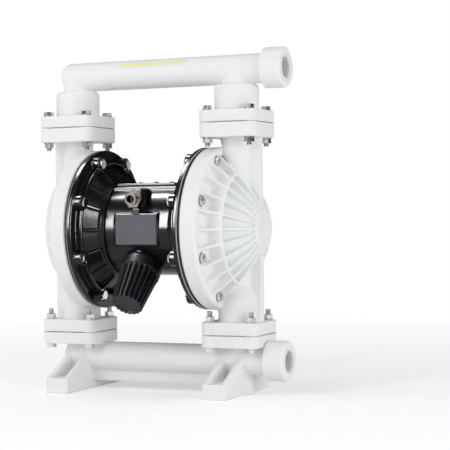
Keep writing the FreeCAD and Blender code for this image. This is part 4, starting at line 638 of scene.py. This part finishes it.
def bolt(length):
    """A bolt along Z, its head above zero and its shank of this length below."""
    reach = hexagon_reach()
    thread_top = min(BOLT_THREAD_LENGTH, length * BOLT_THREAD_SHARE) - length
    rings = [(BOLT_RADIUS - BOLT_POINT, -length)]
    rings += thread_rings(BOLT_THREAD_START - length, thread_top, BOLT_RADIUS,
                          -BOLT_THREAD_DEPTH, BOLT_PITCH, HEX_STEPS)
    rings += [(BOLT_RADIUS, 0.0), (HEAD_FACE_RADIUS, 0.0), (HEAD_FACE_RADIUS, HEAD_FACE_HEIGHT),
              (reach, HEAD_FACE_HEIGHT), (reach, HEAD_HEIGHT - chamfer_drop(reach)),
              (HEX_FLATS / 2 * CHAMFER_START, HEAD_HEIGHT)]
    return lathe(rings)


def nut():
    """A nut along Z on top of zero, chamfered at both ends."""
    reach = hexagon_reach()
    drop = chamfer_drop(reach)
    face = HEX_FLATS / 2 * CHAMFER_START
    mouth = NUT_MOUTH - NUT_BORE
    rings = [(face, 0.0), (reach, drop), (reach, NUT_HEIGHT - drop), (face, NUT_HEIGHT),
             (NUT_MOUTH, NUT_HEIGHT), (NUT_BORE, NUT_HEIGHT - mouth), (NUT_BORE, mouth),
             (NUT_MOUTH, 0.0)]
    return lathe(rings, loop=True)


def washer():
    """A flat washer along Z on top of zero."""
    rings = [(WASHER_RADIUS - WASHER_EDGE, 0.0), (WASHER_RADIUS, WASHER_EDGE),
             (WASHER_RADIUS, WASHER_THICKNESS - WASHER_EDGE),
             (WASHER_RADIUS - WASHER_EDGE, WASHER_THICKNESS),
             (WASHER_BORE, WASHER_THICKNESS), (WASHER_BORE, 0.0)]
    return lathe(rings, loop=True)


def solids_of(node):
    """The points of each separate solid of a node."""
    work = bmesh.new()
    work.from_mesh(NODES[node].data)
    bmesh.ops.remove_doubles(work, verts=work.verts, dist=SAME_PLACE)
    waiting = set(work.verts)
    groups = []
    while waiting:
        edge = [waiting.pop()]
        group = []
        while edge:
            point = edge.pop()
            group.append(point.co[:])
            for link in point.link_edges:
                other = link.other_vert(point)
                if other in waiting:
                    waiting.remove(other)
                    edge.append(other)
        groups.append(np.array(group))
    work.free()
    return sorted(groups, key=lambda group: tuple(np.round(group.mean(0), SORT_DIGITS)))


def stacked(name, copies):
    """One mesh of several copies, each a shape of points and faces and its place."""
    all_points = []
    all_faces = []
    count = 0
    for (points, faces), place in copies:
        all_points.append(placed(points, place))
        all_faces += [[count + corner for corner in face] for face in faces]
        count += len(points)
    return make_mesh(name, np.concatenate(all_points), all_faces)


def fastener_places(node, axis, spins):
    """Foot, direction, length and turn of each fastener of a node, from where its solids lie."""
    for points in solids_of(node):
        low, high = points.min(0), points.max(0)
        middle = (low + high) / 2
        across = np.delete(points - middle, axis, 1)
        wide = points[np.hypot(*across.T) > BOLT_RADIUS + MM]
        upward = wide[:, axis].mean() >= middle[axis] - SAME_PLACE
        foot = middle.copy()
        foot[axis] = low[axis] if upward else high[axis]
        way = np.zeros(3)
        way[axis] = 1.0 if upward else -1.0
        turn = Vector(way).to_track_quat("Z", "Y").to_matrix().to_4x4()
        spin = Matrix.Rotation(spins.uniform(0, SIXTH), 4, "Z")
        yield Vector(foot), Vector(way), high[axis] - low[axis], turn @ spin


def fasteners(node, kind, axis, spins):
    """All fasteners of a node as one piece, rebuilt where its solids lie."""
    shape = None
    copies = []
    for foot, way, length, turn in fastener_places(node, axis, spins):
        if kind == "bolt":
            shank = length - HEAD_HEIGHT
            shape = shape or bolt(shank)
            foot = foot + way * shank
        elif kind == "nut":
            shape = shape or nut()
        else:
            shape = shape or washer()
        copies.append((shape, Matrix.Translation(foot) @ turn))
    stand_in(node, stacked(f"{node}_look", copies))


# Threads of the ports

def open_bore(mesh, port, radius, length):
    """Widen the bore of a port so that its threaded lining fits inside."""
    points = np.empty(len(mesh.vertices) * 3, np.float32)
    mesh.vertices.foreach_get("co", points)
    points = points.reshape(-1, 3)
    offset = points[:, 1:] - np.array(port[1:])
    reach = np.hypot(offset[:, 0], offset[:, 1])
    wide = radius + PIPE_THREAD_DEPTH + LINING_WALL
    outer = radius + BORE_FADE * (wide - radius)
    inner = radius - BORE_INSIDE
    start = port[0] - length / 2 + BORE_FLOOR
    near = (points[:, 0] > start) & (reach > inner) & (reach < outer)
    wanted = wide + (reach - radius) * (outer - wide) / (outer - radius)
    points[near, 1:] += offset[near] * (wanted[near] / reach[near] - 1)[:, None]
    mesh.vertices.foreach_set("co", points.ravel())
    mesh.update()


def port_lining(radius, length):
    """The threaded lining of a port, along Z and centred on zero."""
    outer = radius + PIPE_THREAD_DEPTH + LINING_WALL + LINING_MARGIN
    top = length / 2 - LINING_MARGIN
    bottom = -top
    rings = [(outer, bottom), (outer, top), (radius + PIPE_MOUTH, top)]
    rings += thread_rings(top - PIPE_MOUTH, bottom + PIPE_THREAD_END, radius, PIPE_THREAD_DEPTH,
                          PIPE_PITCH, PIPE_THREAD_STEPS)
    rings.append((radius, bottom))
    return lathe(rings, steps=PIPE_THREAD_STEPS, loop=True)


def manifold(node, mount):
    """A manifold with a threaded port."""
    place = MOUNTS[mount]["pos_m"]
    radius = MOUNTS[mount]["dims"]["r_mm"] * MM
    length = MOUNTS[mount]["dims"]["length_mm"] * MM
    mesh = moulded(node)
    open_bore(mesh, place, radius, length)
    stand_in(node, mesh)
    turn = Matrix.Translation(place) @ Matrix.Rotation(math.pi / 2, 4, "Y")
    lining = stacked(f"{mount}_thread", [(port_lining(radius, length), turn)])
    add_piece(f"{mount}_thread", lining, BODY_OF[node], SLOT_OF[node], look=PORT_LINING,
              stands_for=node)


# Muffler

def fluted_ring(height):
    """The radius around the fluted part of the muffler at one height."""
    steps = FLUTES * FLUTE_STEPS
    share = (height - COLLAR_END) / (MUFFLER_END - COLLAR_END)
    radius = FLUTE_ROOT_RADIUS + (FLUTE_TIP_RADIUS - FLUTE_ROOT_RADIUS) * share
    phase = (np.arange(steps) / FLUTE_STEPS + 0.5) % 1.0 - 0.5
    groove = np.cos(np.clip(np.abs(phase) / FLUTE_SHARE, 0, 1) * math.pi / 2) ** FLUTE_POWER
    start = np.clip((height - COLLAR_END - FLUTE_START) / FLUTE_RUN_IN, 0, 1)
    depth = FLUTE_DEPTH * math.sqrt(1 - (1 - start) ** 2)
    rounded = max(0.0, height - (MUFFLER_END - NOSE_ROUNDING))
    nose = NOSE_ROUNDING - math.sqrt(NOSE_ROUNDING ** 2 - rounded ** 2)
    return radius - np.maximum(depth * groove, nose)


def muffler():
    """The exhaust muffler: a plain collar, tapered flutes and a scalloped end round a disc."""
    rings = [(CENTRE_RADIUS, CAVITY_END), (CAVITY_RADIUS, CAVITY_END), (CAVITY_RADIUS, COLLAR_END),
             (EXHAUST_BORE, MUFFLER_FACE), (EXHAUST_BORE, MUFFLER_FACE - SPIGOT_LENGTH),
             (SPIGOT_RADIUS, MUFFLER_FACE - SPIGOT_LENGTH), (SPIGOT_RADIUS, MUFFLER_FACE),
             (COLLAR_RADIUS - COLLAR_EDGE, MUFFLER_FACE)]
    for step in range(1, COLLAR_EDGE_STEPS + 1):
        turn = step / COLLAR_EDGE_STEPS * math.pi / 2
        rings.append((COLLAR_RADIUS - COLLAR_EDGE + COLLAR_EDGE * math.sin(turn),
                      MUFFLER_FACE + COLLAR_EDGE - COLLAR_EDGE * math.cos(turn)))
    for step in range(COLLAR_EDGE_STEPS + 1):
        turn = step / COLLAR_EDGE_STEPS * math.pi / 2
        rings.append((COLLAR_RADIUS - COLLAR_EDGE + COLLAR_EDGE * math.cos(turn),
                      COLLAR_END - COLLAR_EDGE + COLLAR_EDGE * math.sin(turn)))
    heights = list(np.linspace(COLLAR_END, COLLAR_END + RUN_IN_REACH, RUN_IN_RINGS))
    heights += list(np.linspace(COLLAR_END + STRAIGHT_START, MUFFLER_END - NOSE_ROUNDING,
                                STRAIGHT_RINGS))
    heights += [MUFFLER_END - NOSE_ROUNDING * (1 - math.sin(step / NOSE_RINGS * math.pi / 2))
                for step in range(1, NOSE_RINGS + 1)]
    rings += [(fluted_ring(height), height) for height in heights]
    edge = fluted_ring(MUFFLER_END)
    rings += [((edge + DISC_RADIUS) / 2, MUFFLER_END), (DISC_RADIUS, MUFFLER_END),
              (DISC_RADIUS - DISC_SLOPE, MUFFLER_END - DISC_DEPTH),
              (CENTRE_RADIUS, MUFFLER_END - DISC_DEPTH)]
    turn = (Matrix.Translation((0, 0, AXIS_HEIGHT))
            @ Matrix.Rotation(math.radians(90 + MUFFLER_ANGLE), 4, "X"))
    shape = lathe(rings, steps=FLUTES * FLUTE_STEPS)
    stand_in("muffler_body", stacked("muffler_body_look", [(shape, turn)]))


# Plate and strip

def rounded_loop(half_width, half_height, corner, steps=8):
    """Points of a rounded rectangle around the origin, against the clock."""
    points = []
    for quarter in range(4):
        angle = quarter * math.pi / 2
        side_x = math.copysign(half_width - corner, math.cos(angle + math.pi / 4))
        side_z = math.copysign(half_height - corner, math.sin(angle + math.pi / 4))
        for step in range(steps + 1):
            turn = angle + step / steps * math.pi / 2
            points.append((side_x + corner * math.cos(turn), side_z + corner * math.sin(turn)))
    return points


def front_plate():
    """The bare plate: a field with nothing on it inside a narrow bright rim."""
    low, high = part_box("nameplate")
    middle = (low + high) / 2
    size = (high - low) / 2
    profile = [(0, high.y), (0, low.y + PLATE_BEVEL), (PLATE_BEVEL, low.y),
               (PLATE_RIM_WIDTH, low.y),
               (PLATE_RIM_WIDTH + PLATE_RIM_HEIGHT, low.y + PLATE_RIM_HEIGHT)]
    points = []
    for inset, depth in profile:
        for x, z in rounded_loop(size.x - inset, size.z - inset, PLATE_CORNER - inset):
            points.append((middle.x + x, depth, middle.z + z))
    around = len(points) // len(profile)
    faces = [tuple(range(around))]
    rim_faces = []
    for ring in range(len(profile) - 1):
        for step in range(around):
            after = (step + 1) % around
            if ring > 0:
                rim_faces.append(len(faces))
            faces.append((ring * around + step, (ring + 1) * around + step,
                          (ring + 1) * around + after, ring * around + after))
    faces.append(tuple(range((len(profile) - 1) * around, len(profile) * around))[::-1])
    mesh = make_mesh("nameplate_look", points, faces)
    piece = stand_in("nameplate", mesh)
    piece.data.materials.append(PLATE_RIM)
    for index in rim_faces:
        mesh.polygons[index].material_index = 1


def pipe_strip(along=48, across=8):
    """A plain film strip around the front of the outlet pipe, a little askew."""
    height = MOUNTS["outlet_port"]["pos_m"][2]
    half_turn = STRIP_WIDTH / PIPE_RADIUS / 2
    points = []
    for radius in (PIPE_RADIUS + STRIP_THICKNESS, PIPE_RADIUS - STRIP_THICKNESS):
        for i in range(along + 1):
            x = STRIP_ENDS[0] + (STRIP_ENDS[1] - STRIP_ENDS[0]) * i / along
            middle = STRIP_ANGLES[0] + (STRIP_ANGLES[1] - STRIP_ANGLES[0]) * i / along
            for j in range(across + 1):
                angle = math.radians(middle) + half_turn * (2 * j / across - 1)
                points.append((x, -radius * math.cos(angle), height + radius * math.sin(angle)))
    row = across + 1
    layer = row * (along + 1)
    faces = []
    for i in range(along):
        for j in range(across):
            first = i * row + j
            faces.append((first, first + row, first + row + 1, first + 1))
            faces.append(tuple(layer + corner for corner in
                               (first, first + 1, first + row + 1, first + row)))
    rim = (list(range(row)) + [i * row + across for i in range(1, along + 1)]
           + [along * row + j for j in range(across - 1, -1, -1)]
           + [i * row for i in range(along - 1, 0, -1)])
    for here, there in zip(rim, rim[1:] + rim[:1]):
        faces.append((here, there, layer + there, layer + here))
    mesh = make_mesh("pipe_strip", points, faces)
    add_piece("pipe_strip", mesh, "root", "white_plastic", look=STRIP_FILM)


def hub_disc():
    """The disc on the hub of the right cap, at which the ribs end."""
    points, faces = lathe(HUB_DISC)
    triangles = np.array([(face[0], here, there) for face in faces
                          for here, there in zip(face[1:], face[2:])])
    turn = Matrix.Translation((0, 0, AXIS_HEIGHT)) @ Matrix.Rotation(math.pi / 2, 4, "Y")
    return placed(points, turn), triangles


def model_pieces():
    """Every piece that is modelled anew around the frame."""
    spins = random.Random(SPIN_SEED)
    for node, kind, axis in FASTENERS:
        fasteners(node, kind, axis, spins)
    cap = moulded("fluid_cap_right", extra=hub_disc())
    stand_in("fluid_cap_left", mirrored(cap, "fluid_cap_left_look"))
    stand_in("fluid_cap_right", cap)
    bell = moulded("air_chamber_right")
    stand_in("air_chamber_left", mirrored(bell, "air_chamber_left_look"))
    stand_in("air_chamber_right", bell)
    for node in ("center_body", "valve_cover"):
        stand_in(node, moulded(node))
    muffler()
    for node in ("air_inlet_fitting", "valve_cover_screws", "passage_plugs"):
        stand_in(node, moulded(node))
    manifold("outlet_manifold", "outlet_port")
    manifold("inlet_manifold", "inlet_port")
    front_plate()
    pipe_strip()


# Floor, backdrop and light

FLOOR_REACH = 9.0
FLOOR_NEAR = 0.35
FLOOR_FAR = 1.5
FLOOR_COLOUR = (0.93, 0.93, 0.93, 1.0)
FLOOR_ROUGHNESS = 0.8
FLOOR_GLOW = 0.25
WORLD_SEEN = 1.0
WORLD_FILL = 0.58

# Lamps: place, target, width and height, power in watts, and whether gloss reflects them
LAMPS = {
    "front_lamp": ((-1.06, -2.16, 1.25), (0, 0, 0.3), (0.7, 1.4), 14, True),
    "top_lamp": ((-0.6, -0.2, 1.9), (0, 0, 0.3), (0.8, 0.6), 2, True),
    "right_lamp": ((2.2, -0.9, 0.5), (0, 0, 0.25), (1.4, 1.0), 17, False),
    "left_lamp": ((-2.2, -1.0, 0.8), (0, 0, 0.3), (1.4, 1.4), 8, False),
}

# Cards: place, width and height, and glow; and the material slots that catch their light
CARDS = {
    "front_card": ((-1.06, -2.16, 1.18), (0.42, 1.6), 60.0),
    "right_card": ((2.3, -0.5, 0.6), (0.9, 1.5), 60.0),
    "top_card": ((-0.75, 0.1, 1.75), (0.6, 0.4), 50.0),
}
CARD_TARGET = (0, 0, 0.3)
GLOSS_SLOTS = ("black_paint", "black_plastic")
COATED_SLOTS = ("black_paint",)

# Bands for bare metal: from and to in degrees around the pump, and glow
METAL_BANDS = ((-175, -120, 0.15), (-120, -70, 0.9), (-70, -35, 0.08), (-35, 20, 0.75),
               (20, 60, 0.06), (60, 185, 0.5))
METAL_BAND_RADIUS = 4.8
METAL_BAND_STEPS = 8
METAL_SLOTS = ("stainless", "nickel")

# Dark band around the studio: radius, low and high edge in degrees above the floor, and glow
FLAG_RADIUS = 5.0
FLAG_LOW = 3.0
FLAG_HIGH = 72.0
FLAG_STEPS = 48
FLAG_GLOW = 0.03


def seen_rays(nodes, links):
    """One for camera, glossy and transmission rays, and zero for the rest."""
    rays = nodes.new("ShaderNodeLightPath")
    seen = rays.outputs["Is Camera Ray"]
    for kind in ("Is Glossy Ray", "Is Transmission Ray"):
        either = nodes.new("ShaderNodeMath")
        either.operation = "MAXIMUM"
        links.new(seen, either.inputs[0])
        links.new(rays.outputs[kind], either.inputs[1])
        seen = either.outputs[0]
    return seen


def make_floor():
    """A pale floor that keeps the shadow near the object and shows white further out."""
    mesh = bpy.data.meshes.new("floor")
    mesh.from_pydata([(-FLOOR_REACH, -FLOOR_REACH, 0), (FLOOR_REACH, -FLOOR_REACH, 0),
                      (FLOOR_REACH, FLOOR_REACH, 0), (-FLOOR_REACH, FLOOR_REACH, 0)],
                     [], [(0, 1, 2, 3)])
    floor = bpy.data.objects.new("floor", mesh)
    bpy.context.scene.collection.objects.link(floor)
    look = Material("floor", Base_Color=FLOOR_COLOUR, Roughness=FLOOR_ROUGHNESS)
    distance = look.nodes.new("ShaderNodeVectorMath")
    distance.operation = "LENGTH"
    look.links.new(look.coordinates, distance.inputs[0])
    away = look.spread(distance.outputs["Value"], 0.0, 1.0, FLOOR_NEAR, FLOOR_FAR)
    seen = seen_rays(look.nodes, look.links)
    shown = look.maths("MULTIPLY", away, seen)
    look.shader.inputs["Emission Color"].default_value = WHITE
    look.set("Emission Strength", look.spread(seen, 0.0, FLOOR_GLOW, 0.0, 1.0))
    glow = look.nodes.new("ShaderNodeEmission")
    glow.inputs["Strength"].default_value = WORLD_SEEN
    blend = look.nodes.new("ShaderNodeMixShader")
    look.links.new(shown, blend.inputs[0])
    look.links.new(look.shader.outputs[0], blend.inputs[1])
    look.links.new(glow.outputs[0], blend.inputs[2])
    look.links.new(blend.outputs[0], look.nodes["Material Output"].inputs["Surface"])
    floor.data.materials.append(look.material)


def reflected_only(name, mesh, strength):
    """A glowing stage piece that only reflections show."""
    piece = bpy.data.objects.new(name, mesh)
    bpy.context.scene.collection.objects.link(piece)
    material = bpy.data.materials.new(name)
    material.use_nodes = True
    nodes = material.node_tree.nodes
    glow = nodes.new("ShaderNodeEmission")
    glow.inputs["Strength"].default_value = strength
    material.node_tree.links.new(glow.outputs[0], nodes["Material Output"].inputs["Surface"])
    mesh.materials.append(material)
    piece.visible_camera = False
    piece.visible_diffuse = False
    piece.visible_transmission = False
    piece.visible_shadow = False
    piece.visible_volume_scatter = False
    return piece


def pieces_of(name, slots):
    """A collection of the pieces of some slots, which alone catch the light of a card or band."""
    pieces = bpy.data.collections.new(name)
    for piece in bpy.context.scene.objects:
        if piece.get("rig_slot") in slots:
            pieces.objects.link(piece)
    return pieces


def make_card(name, receivers):
    """A bright card that looks at the pump and gives black gloss its highlights."""
    place, size, glow = CARDS[name]
    wide, high = size[0] / 2, size[1] / 2
    mesh = make_mesh(name, [(-wide, -high, 0), (-wide, high, 0), (wide, high, 0),
                            (wide, -high, 0)], [(0, 1, 2, 3)])
    card = reflected_only(name, mesh, glow)
    card.light_linking.receiver_collection = receivers
    card.location = place
    card.rotation_euler = aimed(place, CARD_TARGET)


def band(name, radius, start, stop, steps):
    """A part of a dome between two turns, in degrees, and between the heights of the flag."""
    points = []
    for height in (FLAG_LOW, FLAG_HIGH):
        rise = math.radians(height)
        for step in range(steps + 1):
            turn = math.radians(start + (stop - start) * step / steps)
            points.append((radius * math.cos(rise) * math.cos(turn),
                           radius * math.cos(rise) * math.sin(turn),
                           radius * math.sin(rise)))
    row = steps + 1
    faces = [(step, step + 1, row + step + 1, row + step) for step in range(steps)]
    return make_mesh(name, points, faces)


def make_flag():
    """A dark band around the studio that only reflections show, as black flags do."""
    reflected_only("flag", band("flag", FLAG_RADIUS, 0, 360, FLAG_STEPS), FLAG_GLOW)


def make_metal_bands(receivers):
    """Light and dark bands inside the flag that only bare metal reflects."""
    for index, (start, stop, glow) in enumerate(METAL_BANDS):
        name = f"metal_band_{index}"
        mesh = band(name, METAL_BAND_RADIUS, start, stop, METAL_BAND_STEPS)
        piece = reflected_only(name, mesh, glow)
        piece.light_linking.receiver_collection = receivers


def make_world():
    """Even white surroundings, dimmer for diffuse light than for the eye."""
    world = bpy.data.worlds.new("studio")
    world.use_nodes = True
    nodes = world.node_tree.nodes
    links = world.node_tree.links
    background = nodes["Background"]
    background.inputs["Color"].default_value = WHITE
    level = nodes.new("ShaderNodeMapRange")
    level.inputs["To Min"].default_value = WORLD_FILL
    level.inputs["To Max"].default_value = WORLD_SEEN
    links.new(seen_rays(nodes, links), level.inputs["Value"])
    links.new(level.outputs["Result"], background.inputs["Strength"])
    bpy.context.scene.world = world


def aimed(place, target):
    """The turn that makes a lamp or card at a place look at its target."""
    return (Vector(target) - Vector(place)).to_track_quat("-Z", "Y").to_euler()


def make_lamp(name, place, target, size, power, reflected):
    """A soft rectangular lamp that looks at its target."""
    data = bpy.data.lights.new(name, "AREA")
    data.shape = "RECTANGLE"
    data.size, data.size_y = size
    data.energy = power
    lamp = bpy.data.objects.new(name, data)
    bpy.context.scene.collection.objects.link(lamp)
    lamp.location = place
    lamp.rotation_euler = aimed(place, target)
    lamp.visible_glossy = reflected


make_camera()
make_world()
make_floor()
make_flag()
for lamp_name, settings in LAMPS.items():
    make_lamp(lamp_name, *settings)
dress_nodes()
model_pieces()
gloss = pieces_of("gloss", GLOSS_SLOTS)
make_metal_bands(pieces_of("bare_metal", METAL_SLOTS))
coated = pieces_of("coated", COATED_SLOTS)
make_card("front_card", gloss)
make_card("right_card", coated)
make_card("top_card", gloss)

bpy.context.scene.view_settings.view_transform = "Standard"
